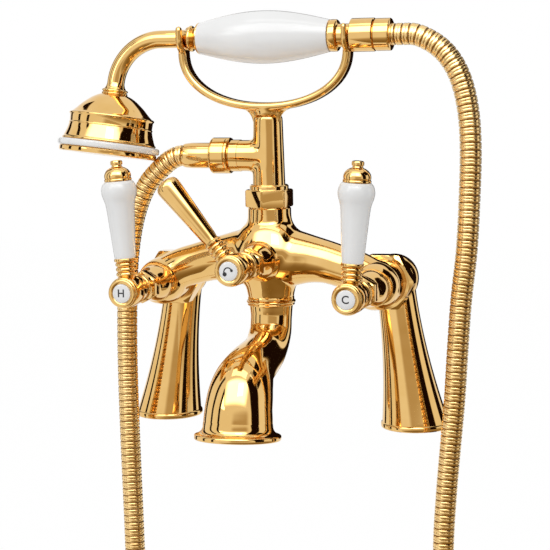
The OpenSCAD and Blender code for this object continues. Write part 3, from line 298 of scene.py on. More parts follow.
# %% [markdown]
# ## Shared effects of the finishes
# Polished plate isn't perfectly even: wiping leaves faint clouds in the gloss and very fine
# hairlines. Glaze has a soft waviness. One shader node group makes both effects from noise
# on Object coordinates, and each finish sets its own scale and strength.

# %% Shared effects of the finishes


def feed(node, given):
    """Sets a node's sockets: numbers directly, outputs of other nodes by a link."""
    for socket, value in given.items():
        if isinstance(value, bpy.types.NodeSocket):
            node.id_data.links.new(value, node.inputs[socket])
        else:
            node.inputs[socket].default_value = value
    return node


def new_node(tree, kind, given=None):
    return feed(tree.nodes.new("ShaderNode" + kind), given or {})


def noise(tree, scale, detail=3, stretched=None):
    """Noise on Object coordinates, optionally stretched along an axis."""
    coords = new_node(tree, "TexCoord").outputs["Object"]
    if stretched:
        coords = new_node(tree, "Mapping", {"Vector": coords, "Scale": stretched}).outputs["Vector"]
    texture = new_node(tree, "TexNoise", {"Vector": coords, "Scale": scale, "Detail": detail})
    return texture.outputs["Fac"]


def polish_group():
    """Clouds for the tone and the gloss, and hairlines for the relief."""
    group = bpy.data.node_groups.new("polish", "ShaderNodeTree")
    for label in ("Cloud Scale", "Least Rough", "Most Rough"):
        group.interface.new_socket(label, in_out="INPUT", socket_type="NodeSocketFloat")
    for label in ("Tone", "Roughness", "Height"):
        group.interface.new_socket(label, in_out="OUTPUT", socket_type="NodeSocketFloat")
    given = group.nodes.new("NodeGroupInput").outputs
    cloud = noise(group, given["Cloud Scale"])
    rough = new_node(group, "MapRange", {
        "Value": cloud, "From Min": 0.3, "From Max": 0.7,
        "To Min": given["Least Rough"], "To Max": given["Most Rough"],
    })
    hairline = noise(group, 900, 2, (1, 0.05, 1))
    result = group.nodes.new("NodeGroupOutput")
    feed(result, {"Tone": cloud, "Roughness": rough.outputs["Result"], "Height": hairline})
    return group


POLISH = polish_group()
print("shader groups:", [g.name for g in bpy.data.node_groups])

# %% [markdown]
# ## How a finish is made
# Every finish of the mixer has the same build: a colour that drifts between two close
# tones, a gloss that varies and a trace of relief. One function makes them all from the
# shared group. The numbers that are the same all over go straight on the shader's sockets.

# %% How a finish is made
CLOUD_EDGES, COAT_ROUGH, RELIEF_DEPTH = (0.35, 0.65), 0.04, 0.1 * MM


def finish(name, tones, rough, cloud_scale, metallic=0.0, bump=0.003, coat=0.0, sheen=0.5):
    """A material whose colour drifts between two tones and whose gloss varies."""
    material = bpy.data.materials.new(name)
    material.use_nodes = True
    tree = material.node_tree
    polish = new_node(tree, "Group")
    polish.node_tree = POLISH
    feed(polish, {"Cloud Scale": cloud_scale, "Least Rough": rough[0], "Most Rough": rough[1]})
    ramp = new_node(tree, "ValToRGB", {"Fac": polish.outputs["Tone"]})
    for element, edge, tone in zip(ramp.color_ramp.elements, CLOUD_EDGES, tones):
        element.position = edge
        element.color = (*tone, 1)
    relief = new_node(tree, "Bump", {
        "Height": polish.outputs["Height"], "Strength": bump, "Distance": RELIEF_DEPTH,
    })
    feed(tree.nodes["Principled BSDF"], {
        "Base Color": ramp.outputs["Color"], "Roughness": polish.outputs["Roughness"],
        "Normal": relief.outputs["Normal"], "Metallic": metallic, "Coat Weight": coat,
        "Coat Roughness": COAT_ROUGH, "Specular IOR Level": sheen,
    })
    return material


print("ready: finish, with the group", POLISH.name)

# %% [markdown]
# ## Finishes
# The visible metal is brass with polished gold plate, and the hose's plate is a little
# paler and duller. The grips are white glazed porcelain. Inside sit raw brass, lapped
# ceramic discs, steel screws, rubber rings and fibre washers. The solids of the CAD model
# that stay hidden in the mixer get their finish here, by the slots of the record.

# %% Finishes
FINISH = {
    "gold": finish("gold_plate", [(0.78, 0.49, 0.17), (0.82, 0.53, 0.20)], (0.04, 0.075), 70, 1),
    "hose_gold": finish("hose_gold", [(0.86, 0.58, 0.24), (0.91, 0.64, 0.29)], (0.2, 0.27), 90, 1),
    # Painted shade: a darker gold for the grooves of the hose.
    "groove": finish("hose_groove", [(0.30, 0.15, 0.04), (0.42, 0.22, 0.06)], (0.3, 0.5), 200, 1),
    "porcelain": finish(
        "white_glaze", [(0.86, 0.86, 0.855), (0.89, 0.89, 0.885)], (0.12, 0.18), 45,
        bump=0.001, coat=0.2, sheen=0.35,
    ),
    "raw_brass": finish("raw_brass", [(0.52, 0.33, 0.11), (0.60, 0.40, 0.15)], (0.25, 0.4), 120, 1),
    "disc_ceramic": finish("disc_ceramic", [(0.70, 0.70, 0.64), (0.78, 0.78, 0.72)], (0.3, 0.4), 150),
    "steel": finish("steel", [(0.50, 0.50, 0.51), (0.58, 0.58, 0.59)], (0.2, 0.32), 150, 1),
    "rubber": finish("rubber", [(0.012, 0.012, 0.012), (0.025, 0.025, 0.025)], (0.5, 0.7), 300),
    "fibre": finish("fibre", [(0.14, 0.035, 0.018), (0.20, 0.05, 0.025)], (0.7, 0.85), 400),
    "enamel": finish("black_enamel", [(0.01, 0.01, 0.012), (0.02, 0.02, 0.024)], (0.2, 0.3), 200),
}
hose.data.materials.append(FINISH["hose_gold"])
hose.data.materials.append(FINISH["groove"])
only(hose)
bpy.ops.object.shade_smooth_by_angle(angle=math.radians(40))
for part in frame["record"]["subparts"]:
    node = frame["nodes"][part["node"]]
    node.data.materials.clear()
    node.data.materials.append(FINISH[part["material_slot"]])
print("finishes:", list(FINISH))

# %% [markdown]
# ## Turned pieces
# A lathe turns a bar while a tool follows a profile. Here a circle is extruded ring by ring
# and each new ring is scaled to its radius, which gives the same solid. A profile spun
# round an axis would do as well, but rings are easy to read: each is a radius and a height
# in millimetres. Arcs and soft curves give the rings of the rounded stretches.

# %% Turned pieces
SIDES = 64
MERGE = 0.001 * MM


def place_along(start, way):
    """Matrix that takes the lathe's Z axis to a direction from a point."""
    turn = Vector(way).to_track_quat("Z", "Y").to_matrix().to_4x4()
    return Matrix.Translation(start) @ turn


def settle(piece, place):
    piece.matrix_world = place
    only(piece)
    bpy.ops.object.transform_apply(location=True, rotation=True, scale=True)
    return piece


def turned(name, rings, place, hollow=False, sides=SIDES):
    """A turned piece from (radius, height) rings in millimetres along its axis."""
    (r, h), *others = rings
    bpy.ops.mesh.primitive_circle_add(
        vertices=sides, radius=r * MM, location=(0, 0, h * MM),
        fill_type="NOTHING" if hollow else "NGON",
    )
    piece = bpy.context.object
    piece.name = name
    bpy.ops.object.transform_apply(location=True, rotation=False, scale=False)
    with edited(piece):
        for r1, h1 in others:
            bpy.ops.mesh.extrude_region_move(TRANSFORM_OT_translate={"value": (0, 0, (h1 - h) * MM)})
            bpy.ops.transform.resize(value=(r1 / r, r1 / r, 1), center_override=(0, 0, h1 * MM))
            r, h = r1, h1
        bpy.ops.mesh.select_all(action="SELECT")
        bpy.ops.mesh.remove_doubles(threshold=MERGE)
        bpy.ops.mesh.normals_make_consistent(inside=False)
    return settle(piece, place)


def ring_of(name, profile, place, sides=SIDES):
    """A turned ring whose profile closes on itself."""
    return turned(name, [*profile, profile[0]], place, True, sides)


def raised(rings, by):
    """The same rings further along the axis."""
    return [(r, h + by) for r, h in rings]


def arc(r, h, radius, start, end, steps=6):
    """Rings along a round stretch about the point (r, h), angles from outward to up."""
    angles = [math.radians(start + (end - start) * i / steps) for i in range(steps + 1)]
    return [(r + radius * math.cos(a), h + radius * math.sin(a)) for a in angles]


def soft(points, steps=5):
    """Rings on a smooth curve through the given rings."""
    first, *_, last = points = [Vector(p) for p in points]
    ends = 2 * first - points[1], 2 * last - points[-2]
    return [tuple(p) for p in smooth_line([ends[0], *points, ends[1]], steps)]


print("turned pieces have", SIDES, "sides")

# %% [markdown]
# ## Showing a piece
# A finished piece gets its finish and is shaded smooth, with its real edges kept sharp. Then
# it is told which body it rides on, so that it moves with its lever or with the hand
# shower, and the CAD solids it stands for are hidden. Pieces of one casting are joined before that.

# %% Showing a piece


def joined(name, pieces):
    only(pieces[0])
    for piece in pieces:
        piece.select_set(True)
    bpy.ops.object.join()
    pieces[0].name = name
    return pieces[0]


def show(piece, body, slot, *nodes, finish_name=None, angle=35):
    """Gives a piece its finish and its body, and hides the CAD nodes that it stands for."""
    piece.data.materials.clear()
    piece.data.materials.append(FINISH[finish_name or slot])
    only(piece)
    bpy.ops.object.shade_smooth_by_angle(angle=math.radians(angle))
    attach(piece, body)
    if nodes:
        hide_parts(*nodes)
    print(piece.name, "on", body, len(piece.data.polygons), "faces")
    return piece


# %% [markdown]
# ## Axes of the mixer
# Every turned piece needs an axis. The three valve axes come from the joints of the
# levers, the riser and the hand shower from the boxes of their CAD nodes. The lathe's Z
# axis then points forward out of a valve, up the riser, or to the right along the grip.

# %% Axes of the mixer
BODY_Y = middle("riser_column").y
FORWARD = Matrix.Rotation(math.pi / 2, 4, "X")
TAPS = {"hot_lever": "hot", "cold_lever": "cold"}
WORDS = {**TAPS, "diverter": "diverter"}
VALVES = {}
for lever in WORDS:
    axis_point = Vector(joints[lever + "_turn"]["pos_m"])
    VALVES[lever] = Matrix.Translation((axis_point.x, BODY_Y, axis_point.z)) @ FORWARD
RISER = Matrix.Translation((0, BODY_Y, 0))
grip_mid = middle("hand_grip")
HAND = Matrix.Translation(grip_mid) @ Matrix.Rotation(math.pi / 2, 4, "Y")
HAND_LEFT = Matrix.Translation(grip_mid) @ Matrix.Rotation(-math.pi / 2, 4, "Y")
OUTLET = Matrix.Translation((0, BODY_Y, lower_mouth.z)) @ Matrix.Rotation(-math.pi / 2, 4, "Y")
print("riser at y", round(BODY_Y, 4), "grip at", [round(x, 4) for x in grip_mid])

# %% [markdown]
# ## Legs
# Each leg is a hollow trumpet casting that leans in from its foot and ends in a round head
# behind the body. One lathe profile gives the flare and the head; a bisect cuts it flat at
# the deck, and a low rim is turned upright under it.

# %% Legs
HEAD_R, TAIL_R, FOOT_R, LEG_TOP_R = 16.5, 11, 23.4, 13.1
HEAD_OUT, TAIL_LEN, BELOW_DECK = 1.2, 18.5, 6
HOLE_SPACING, FLARE_POWER, FLARE_STEPS = 180, 1.9, 20
HANDS = ((-1, "left"), (1, "right"))


def leg(side, name, node):
    nut = middle(node.replace("leg", "union_nut"))
    elbow = Vector((nut.x, 0, VALVES["hot_lever"].translation.z))
    base = Vector((side * HOLE_SPACING / 2 * MM, 0, 0))
    lean = elbow + Vector((side * HEAD_OUT * MM, 0, 0)) - base
    head = arc(0, lean.length / MM, HEAD_R, -37, 84, 18)
    widest = FOOT_R - 0.3
    flare = [
        (LEG_TOP_R + (widest - LEG_TOP_R) * (1 - t) ** FLARE_POWER, head[0][1] * t)
        for t in (i / FLARE_STEPS for i in range(FLARE_STEPS))
    ]
    shaft = turned(name, [(flare[0][0], -BELOW_DECK), *flare, *head], place_along(base, lean))
    with edited(shaft):
        bpy.ops.mesh.bisect(plane_co=(0, 0, 0), plane_no=(0, 0, 1), clear_inner=True, use_fill=True)
    tail = turned("tail", [(TAIL_R, 0), (TAIL_R, TAIL_LEN)], place_along(elbow, (0, -1, 0)))
    edge = [*arc(FOOT_R - 1, 1, 1, -85, 0, 4), *arc(FOOT_R - 1.6, 2.4, 1.6, 0, 80, 5)]
    rim = turned("rim", [*edge, (FOOT_R - 2.4, 4.1)], Matrix.Translation(base))
    return show(joined(name, [shaft, tail, rim]), "root", "gold", node)


for side, word in HANDS:
    leg(side, "leg_casting_" + word, "leg_" + word)

# %% [markdown]
# ## Union nuts
# A hexagon nut clamps each leg to the body. Its flats come from a merged copy of the CAD
# solid. The ends of a real nut are turned to a chamfer, so the copy is intersected with a
# turned piece, and a small bevel breaks its edges, which then catch the light.

# %% Union nuts
NUT_R, NUT_END_R, NUT_CHAMFER, NUT_EDGE = 20.4, 17.9, 1.6, 0.5
HEX_ANGLE = 22
COPY_MERGE, COPY_FLAT = 0.005 * MM, math.radians(0.3)


def broken(piece, width, segments=2, angle=40):
    """Breaks the sharp edges of a piece with a small bevel."""
    bevel = piece.modifiers.new("edges", "BEVEL")
    bevel.width = width * MM
    bevel.segments = segments
    bevel.limit_method = "ANGLE"
    bevel.angle_limit = math.radians(angle)
    apply_all(piece)
    return piece


def copied(name, node):
    """A merged copy of a CAD node, free of the frame."""
    piece = frame["nodes"][node].copy()
    piece.data = piece.data.copy()
    piece.name = name
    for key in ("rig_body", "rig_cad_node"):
        del piece[key]
    piece.parent = None
    bpy.context.collection.objects.link(piece)
    with edited(piece):
        bpy.ops.mesh.remove_doubles(threshold=COPY_MERGE)
        bpy.ops.mesh.dissolve_limited(angle_limit=COPY_FLAT)
    return piece


def chamfered(name, node, place, rings):
    """A copy of a hexagon nut whose corners are cut round by a turned chamfer."""
    nut = copied(name, node)
    tool = turned("chamfer", rings, place, sides=96)
    chamfer = nut.modifiers.new("chamfer", "BOOLEAN")
    chamfer.operation = "INTERSECT"
    chamfer.solver = "EXACT"
    chamfer.object = tool
    broken(nut, NUT_EDGE, 3, 50)
    bpy.data.objects.remove(tool)
    return nut


for side, word in HANDS:
    low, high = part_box("union_nut_" + word)
    deep = (high.y - low.y) / MM
    half = [(NUT_END_R - 0.3, -0.1), (NUT_END_R, 0), (NUT_R, NUT_CHAMFER)]
    ends = [*half, *((r, deep - h) for r, h in reversed(half))]
    centre = middle("union_nut_" + word)
    back = place_along(Vector((centre.x, high.y, centre.z)), (0, -1, 0))
    nut = chamfered("union_hex_" + word, "union_nut_" + word, back, ends)
    show(nut, "root", "gold", "union_nut_" + word, angle=HEX_ANGLE)

# %% [markdown]
# ## Bars and castings
# Some shapes follow a bent line: a drawn line with a round bevel gives a bar, thicker or
# thinner along its way. Where a casting has soft inner corners, its overlapping solids are
# melted into one by a voxel remesh and smoothed. Boolean joints would leave sharp corners.

# %% Bars and castings


def round_bar(name, points, radius, place, sides=6):
    """A round bar along a line of points; radius is one number or one for each point."""
    radii = radius if isinstance(radius, list) else [radius] * len(points)
    bar_line = drawn_line(name, points, [r / MM for r in radii])
    bar_line.data.bevel_depth = MM
    bar_line.data.bevel_resolution = sides
    bar_line.data.use_fill_caps = True
    only(bar_line)
    bpy.ops.object.convert(target="MESH")
    return settle(bpy.context.object, place)


def melted(piece, voxel, rounds):
    """Melts overlapping solids into one casting and softens its inner corners."""
    only(piece)
    piece.data.remesh_voxel_size = voxel * MM
    bpy.ops.object.voxel_remesh()
    with edited(piece):
        bpy.ops.mesh.vertices_smooth(factor=0.5, repeat=rounds)
    return piece


print("ready: round_bar, melted")

# %% [markdown]
# ## Body
# The body is one brass casting: two arms sweep down from a belly to the valve barrels, and
# a neck rises to the riser. The real casting has generous inner corners: broad sweeps lead
# from the neck into the arms, and a brow slopes forward to the diverter. All of these are
# turned pieces or bars that overlap, and they are melted together.

# %% Body
BARREL_R, DIVERTER_R = 16, 15
ARM = [
    (75, 103, 13.4), (62, 109.4, 13.6), (48.5, 113.4, 13.8), (40, 115.6, 14.3), (30, 117.0, 15.8),
    (20, 117.6, 18.2), (8, 117.6, 20),
]
ARM_FORWARD = 5.25 / ARM[0][0]
SWEEP_X, SWEEP_Z, SWEEP_R, SWEEP_BAR = 28.5, 147.5, 22, 8
BROW_FORWARD, BROW_BROAD = 4, 1.3
SEAT_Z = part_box("spout_collar")[1].z / MM
core = soft([
    (15.4, SEAT_Z + 1), (15.9, 94), (17.6, 101), (19.2, 109), (19.6, 116), (18.8, 124),
    (16.6, 132), (14.9, 140), (14.5, 147), (14.5, 150.6),
])
brow = soft([
    (15, 108), (19, 116), (20.2, 122), (18.9, 128), (16.4, 133.5), (13.2, 138.5), (9.5, 142),
])
broad = RISER @ Matrix.Translation((0, -BROW_FORWARD * MM, 0)) @ Matrix.Diagonal((BROW_BROAD, 1, 1, 1))
casting = [turned("core", core, RISER), turned("brow", brow, broad)]
stations = soft(ARM, 4)
barrel = [(BARREL_R - 1, -8.8), (BARREL_R, -7.5), (BARREL_R, 8), (BARREL_R - 1.5, 9.5)]
for lever in TAPS:
    side = math.copysign(1, VALVES[lever].translation.x)
    arm_line = [Vector((side * x, -ARM_FORWARD * x, z)) * MM for x, z, r in stations]
    casting.append(round_bar("arm", arm_line, [r * MM for x, z, r in stations], RISER, 12))
    turn = arc(SWEEP_X, SWEEP_Z, SWEEP_R, 180, 258, 12)
    sweep = [Vector((side * x, 0, z)) * MM for x, z in turn]
    casting.append(round_bar("sweep", sweep, SWEEP_BAR * MM, RISER, 12))
    casting.append(turned("barrel", barrel, VALVES[lever]))
casting.append(turned("middle", [(DIVERTER_R, 0), (DIVERTER_R, 13)], VALVES["diverter"]))
body = melted(joined("body_casting", casting), 1.0, 14)
print("melted body:", len(body.data.polygons), "faces")

# %% [markdown]
# ## Machined faces of the body
# Where other parts are screwed on, the real casting is machined: the noses and backs of the
# barrels, the seat of the spout and the neck's end under the riser nut. Melting would make
# them soft, so they are added afterwards as crisp turned pieces.

# %% Machined faces of the body
NECK_Z = 151
BARREL_END = {"hot_lever": 20, "cold_lever": 20, "diverter": 24}
NOSE = [(-3, -12.5), (-0.1, -11.5), (-0.3, -9), (-0.8, -6), (-1.6, -3.2), (-2.6, -1), (-3.2, 0)]
faces = []
for lever, end in BARREL_END.items():
    r = BARREL_R if lever in TAPS else DIVERTER_R
    nose = [(r + dr, end + dh) for dr, dh in (NOSE[0], *soft(NOSE[1:], 3))]
    faces.append(turned("nose", nose, VALVES[lever]))
back = [(13, -14.5), (13, -10), (15.2, -9.5), (15.8, -9), (15.8, -6), (14, -5)]
faces += [turned("back", back, VALVES[lever]) for lever in TAPS]
seat = [(14.6, 0), (15.2, 0.1), (15.6, 0.6), (15.6, 2), (14.5, 4)]
faces.append(turned("seat", raised(seat, SEAT_Z), RISER))
neck = [(13.5, -5), (14.4, -4), (14.4, -0.6), (13.9, 0), (12.2, 0), (12.2, 6)]
faces.append(turned("neck", raised(neck, NECK_Z), RISER))
show(joined("body_casting", [body, *faces]), "root", "gold", "mixer_body")

# %% [markdown]
# ## Spout
# The swan spout is cast hollow, swings forward and widens to a round mouth. It could be a
# bent tube, but its girth grows all the way. So rings are set along its line, each square
# to the line, and bridged into one skin. Each station gives how far the line has gone
# forward and down and how much the girth has grown, as shares of the whole.

# %% Spout
SPOUT_REACH, SPOUT_DROP, ROOT_R, MOUTH_R = 70, 81, 13, 22.3
SPOUT_LINE = [
    (0, 0, 0.22), (0, 0.06, 0.15), (0.005, 0.15, 0.09), (0.05, 0.28, 0.11), (0.24, 0.41, 0.16),
    (0.62, 0.485, 0.38), (0.79, 0.56, 0.66), (0.89, 0.65, 0.84), (0.95, 0.75, 0.92),
    (0.975, 0.84, 0.985), (0.99, 0.92, 1.02),
]
line = soft(SPOUT_LINE)
spots = [
    Vector((0, BODY_Y / MM - SPOUT_REACH * ahead, SEAT_Z - SPOUT_DROP * down)) * MM
    for ahead, down, grown in line
]
rings = []
for i, (spot, (ahead, down, grown)) in enumerate(zip(spots, line)):
    way = spots[min(i + 1, len(spots) - 1)] - spots[max(i - 1, 0)] if i else Vector((0, 0, -1))
    girth = ROOT_R + (MOUTH_R - ROOT_R) * grown
    bpy.ops.mesh.primitive_circle_add(vertices=SIDES, radius=girth * MM)
    tilt = Matrix.Rotation(math.atan2(-way.y, -way.z), 4, "X")
    rings.append(settle(bpy.context.object, Matrix.Translation(spot) @ tilt.inverted()))
spout = joined("spout_casting", rings)
with edited(spout):
    bpy.ops.mesh.bridge_edge_loops()
    bpy.ops.mesh.normals_make_consistent(inside=False)
print("spout skin:", len(spout.data.polygons), "faces from", len(line), "rings")

# %% [markdown]
# ## Mouth and collar of the spout
# The mouth ends in a rim that flares out in a hollow curve, with the bore inside it. It is
# turned on the mouth's own axis, which tilts a little. The collar, a ring with a bead, sits
# between the spout and the body.

# %% Mouth and collar of the spout
RIM_R, MOUTH_TILT = 28, 6
mouth = Matrix.Translation((0, BODY_Y - SPOUT_REACH * MM, (SEAT_Z - SPOUT_DROP) * MM))
mouth = mouth @ Matrix.Rotation(math.radians(-MOUTH_TILT), 4, "X")
rim = [
    (19.6, 22), (22.3, 11), *arc(27.6, 8.8, 5, 180, 258, 8), *arc(RIM_R - 1.3, 2.5, 1.3, 85, 0, 4),
    *arc(RIM_R - 1.2, 1.2, 1.2, 0, -85, 4), (20.6, 0), (19.8, 1), (19.4, 18),
]
show(joined("spout_casting", [spout, ring_of("rim", rim, mouth)]), "root", "gold", "spout")
collar = [
    (13.4, 85.5), (15.0, 85.5), *arc(15.2, 86.2, 0.7, -70, 0, 3), (15.6, 86.9),
    *arc(15.7, 88.1, 0.8, -50, 90, 6), (13.4, 88.9),
]
show(ring_of("spout_ring", collar, RISER), "root", "gold", "spout_collar")

# %% [markdown]
# ## Bonnets
# A bonnet covers each valve: a low rounded skirt on the barrel, a cone that draws in, a
# hexagon for the spanner and a beaded neck under the lever. The round parts are one turned
# piece, and the hexagon is a six-sided one whose edges get a small bevel.

# %% Bonnets


def bonnet(name, lever, start, node):
    skirt = [(11.9, 0), *arc(11.7, 0.8, 0.7, -60, 60, 4), (12, 1.7)]
    cone = soft([(12.1, 2), (11.9, 4), (11.3, 7), (10.5, 10), (9.7, 12.8), (9.3, 14.8)], 4)
    neck = [(9.3, 25), (8.6, 26.2), (8.4, 29), *arc(8.4, 30.4, 0.9, -80, 80, 6), (8.3, 32), (8.9, 33)]
    neck += [(9, 35.7), *arc(8.4, 35.9, 0.6, 0, 80, 3), (8, 36.5)]
    round_part = turned(name, raised([*skirt, *cone, *neck], start), VALVES[lever])
    six = [(9.6, 15.2), (10.9, 16), (10.9, 24.2), (9.6, 25)]
    hexagon = turned("hexagon", raised(six, start), VALVES[lever], sides=6)
    broken(hexagon, 0.4, 2, 30)
    return show(joined(name, [round_part, hexagon]), "root", "gold", node)


for lever, word in WORDS.items():
    bonnet("bonnet_cover_" + word, lever, BARREL_END[lever], "bonnet_" + word)

# %% [markdown]
# ## Lever hubs
# A lever's hub is a short turned drum on the spindle. A beaded neck grows out of it towards
# the grip: three half-round beads with narrow waists, then a flat seat. The beads are arcs
# in the neck's profile, so the light breaks on them as on the real turning.

# %% Lever hubs
LEAN = {"hot_lever": -4, "cold_lever": 4, "diverter": -40}
HUB_BACK = {"hot_lever": 57, "cold_lever": 57, "diverter": 61}
HUB_R, HUB_LEN = 10.2, 18


def lever_axis(lever):
    """The lever's own axis, from the middle of its hub along the grip."""
    lean = Matrix.Rotation(math.radians(-LEAN[lever]), 4, "Z")
    up = Matrix.Rotation(-math.pi / 2, 4, "X")
    return VALVES[lever] @ Matrix.Translation((0, 0, (HUB_BACK[lever] + HUB_LEN / 2) * MM)) @ lean @ up


def drum(lever):
    """The hub itself: a rounded back edge, a fine groove and a rounded front edge."""
    rings = [(8.4, 0), *arc(8.6, 1.2, 1.2, -85, 0, 4), (9.8, 4), (9.3, 4.6), (9.8, 5.2), (HUB_R, 6)]
    rings += [(HUB_R, HUB_LEN - 1.6), *arc(8.8, HUB_LEN - 1.2, 1.2, 0, 85, 5), (8, HUB_LEN)]
    return turned("drum", raised(rings, HUB_BACK[lever]), VALVES[lever])


def beads(stem, bead, places):
    """Half-round beads of one size along a stem."""
    rings = []
    for h in places:
        rings += arc(stem, h, bead, -75, 75, 8)
    return rings


for lever, word in TAPS.items():
    neck = [(5, 6), (5, 9), *beads(5.1, 1.6, (11.6, 14.8, 18.0)), (5.4, 19.7)]
    neck += [*arc(6.6, 20.4, 0.7, -80, 0, 3), (7.3, 21.2), *arc(6.8, 21.3, 0.5, 0, 85, 3)]
    parts = [drum(lever), turned("neck", neck, lever_axis(lever))]
    show(joined("lever_drum_" + word, parts), lever, "gold", "lever_hub_" + word)

# %% [markdown]
# ## Porcelain grips and finials
# The grip is slip-cast porcelain: slim at the foot, swelling slowly, with a round shoulder
# and a drawn-in top. The gold finial caps it: a rim, a dome and a small button on a neck.
# Both are smooth profiles on the lever's axis.

# %% Porcelain grips and finials
GRIP_FOOT = 21.8
GRIP = [
    (6.5, 0), (6.9, 0.5), (7.3, 5), (7.75, 12), (8.4, 21), (9.1, 31), (9.9, 36.5), (11.1, 40.3),
    (11.6, 43.4), (11.3, 46), (10.5, 48.2), (9.2, 49.7), (8.4, 50),
]
FINIAL = [(8.1, 50), (8.8, 50.2), (8.95, 51), (8.7, 51.6), (8.3, 51.9)]
FINIAL_DOME = [(8.6, 52.2), (8.7, 53.4), (8.3, 55.2), (7.1, 57), (5.3, 58.3), (3.9, 58.9), (3.3, 59.5)]
FINIAL_TOP = [(3.2, 60.2), (3.8, 60.5), (3.9, 61), (3.9, 62.4), (3.6, 63), (2.6, 63.35), (1, 63.4)]

for lever, word in TAPS.items():
    grip = turned("porcelain_lever_" + word, raised(soft(GRIP), GRIP_FOOT), lever_axis(lever))
    show(grip, lever, "porcelain", "lever_grip_" + word)
    rings = raised([*FINIAL, *soft(FINIAL_DOME, 4), *FINIAL_TOP], GRIP_FOOT)
    cap = turned("finial_cap_" + word, rings, lever_axis(lever))
    show(cap, lever, "gold", "finial_" + word)

# %% [markdown]
# ## Diverter lever
# The diverter's lever is all metal: a hub like the others, a small beaded neck and a plain
# tapered bar with a rounded end. It leans to the left, as the photograph shows it.

# %% Diverter lever
bar = [(4.4, 6), (4.4, 10), *beads(4.5, 1.6, (11.8, 15.1, 18.4)), (4.6, 20.2), (5.6, 20.6), (5.9, 21.4)]
bar += [(5.5, 22.2), (4.8, 22.9), (4.8, 24.5), (5.2, 27), (7.8, 64.5)]
bar += soft([(7.9, 66.5), (7.75, 68.4), (6.8, 70.3), (4.9, 71.5), (2.4, 72)], 3)
parts = [drum("diverter"), turned("bar", bar, lever_axis("diverter"))]
show(joined("diverter_bar", parts), "diverter", "gold", "diverter_lever")

# %% [markdown]
# ## Index discs
# Each hub ends in a gold bezel round a slightly domed white disc. The hot and cold discs
# carry a plain block letter each, and the diverter's a simple handset sign. The signs are
# thin enamel inlays: a text object and a few small turned pieces made into meshes.

# %% Index discs
BEZEL = [(6.35, 0), *arc(8.6, 0.7, 0.7, -70, 0, 3), *arc(8.2, 1.1, 1.1, 0, 90, 6), (6.9, 2.1), (6.35, 1.7)]
DISC = [(5.6, 0.8), (6.2, 1.0), (6.2, 1.6), (6.0, 2.0), (5.2, 2.35), (3.5, 2.55), (1.5, 2.62)]
FACE = {lever: HUB_BACK[lever] + HUB_LEN for lever in HUB_BACK}
LETTER_SIZE, LETTER_BOLD, SIGN_T = 7, 0.12, 0.3


def letter(text, lever):
    """A block letter as a thin plate on the disc."""
    bpy.ops.object.text_add()
    sign = bpy.context.object
    sign.data.body = text
    sign.data.size = LETTER_SIZE * MM
    sign.data.align_x, sign.data.align_y = "CENTER", "CENTER"
    sign.data.extrude = SIGN_T / 2 * MM
    sign.data.offset = LETTER_BOLD * MM
    bpy.ops.object.convert(target="MESH")
    return settle(sign, VALVES[lever] @ Matrix.Translation((0, 0, (FACE[lever] + 2.5) * MM)))


def handset_sign(lever):
    """A bow with a round head and a small foot, drawn flat on the disc."""
    face = VALVES[lever] @ Matrix.Translation((0, 0, (FACE[lever] + 2.45) * MM))
    flat = Matrix.Diagonal((1, 1, 0.4, 1))
    bow = [Vector((r, h, 0)) * MM for r, h in arc(0, -0.2, 2.6, 20, 215, 20)]
    parts = [round_bar("bow", bow, 0.55 * MM, face @ flat)]
    for end, least, most in ((bow[-1], 1.2, 1.5), (bow[0], 0.8, 1.0)):
        rings = [(least, -0.3), (most, 0), (least, 0.35)]
        parts.append(turned("end", rings, face @ Matrix.Translation(end), sides=24))
    return joined("sign", parts)


for lever, word in WORDS.items():
    ring = ring_of("bezel_" + word, raised(BEZEL, FACE[lever]), VALVES[lever])
    show(ring, lever, "gold", "index_bezel_" + word)
    disc = turned("disc_" + word, raised(DISC, FACE[lever]), VALVES[lever])
    show(disc, lever, "porcelain", "index_disc_" + word)
    sign = handset_sign(lever) if lever == "diverter" else letter(word[0].upper(), lever)
    sign.name = "sign_" + word
    show(sign, lever, "porcelain", finish_name="enamel")

# %% [markdown]
# ## Riser
# A hexagon nut holds the riser on the body. The column tapers up and a branch leaves it to
# the left with a soft inner corner, so the two are melted together as the body was. The
# branch's end and the column's foot are machined, so they are turned and joined on.

# %% Riser
COLUMN_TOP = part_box("riser_column")[1].z / MM
nut = broken(copied("riser_hex", "riser_nut"), 0.4)
show(nut, "root", "gold", "riser_nut", angle=HEX_ANGLE)
stem = turned("stem", [(11.1, 159.5), (9.8, COLUMN_TOP)], RISER)
branch = turned("branch", [(10.4, 0), (10.4, 26)], OUTLET)
column = melted(joined("column", [stem, branch]), 0.9, 16)
branch_end = [(8, 18), (10.6, 19.5), (10.6, 25.2), (10, 25.8), (9, 26), (9, 33)]
foot_ring = [(10, 158.6), (11, 158.8), (11, 166), (10, 168)]
parts = [column, turned("end", branch_end, OUTLET), turned("foot", foot_ring, RISER)]
show(joined("riser_casting", parts), "root", "gold", "riser_column")

# %% [markdown]
# ## Hose outlet of the riser
# A collar nut with two fine grooves joins the hose to the branch, and a smooth sleeve holds
# the hose's end. Both are rings turned on the branch's axis, open in the middle.

# %% Hose outlet of the riser
nut = [(8.7, 26.5), (11.1, 26.5), *arc(11.3, 27.2, 0.7, -70, 0, 3), (12, 28), (11.6, 28.4), (12, 28.8)]
nut += [(12, 37.4), (11.6, 37.8), (12, 38.2), *arc(11.3, 38.4, 0.7, 0, 80, 3), (8.7, 39)]
show(ring_of("collar_ring", nut, OUTLET), "root", "gold", "hose_collar_nut")
sleeve = [(7.3, 38), (8.3, 38), (8.4, 40), (8.5, 42), (8.5, 54), (8.2, 58), (7.9, 59.6)]
sleeve += [(7.4, 60.1), (7.3, 59)]
show(ring_of("hose_sleeve", sleeve, OUTLET), "root", "gold", "hose_ferrule")

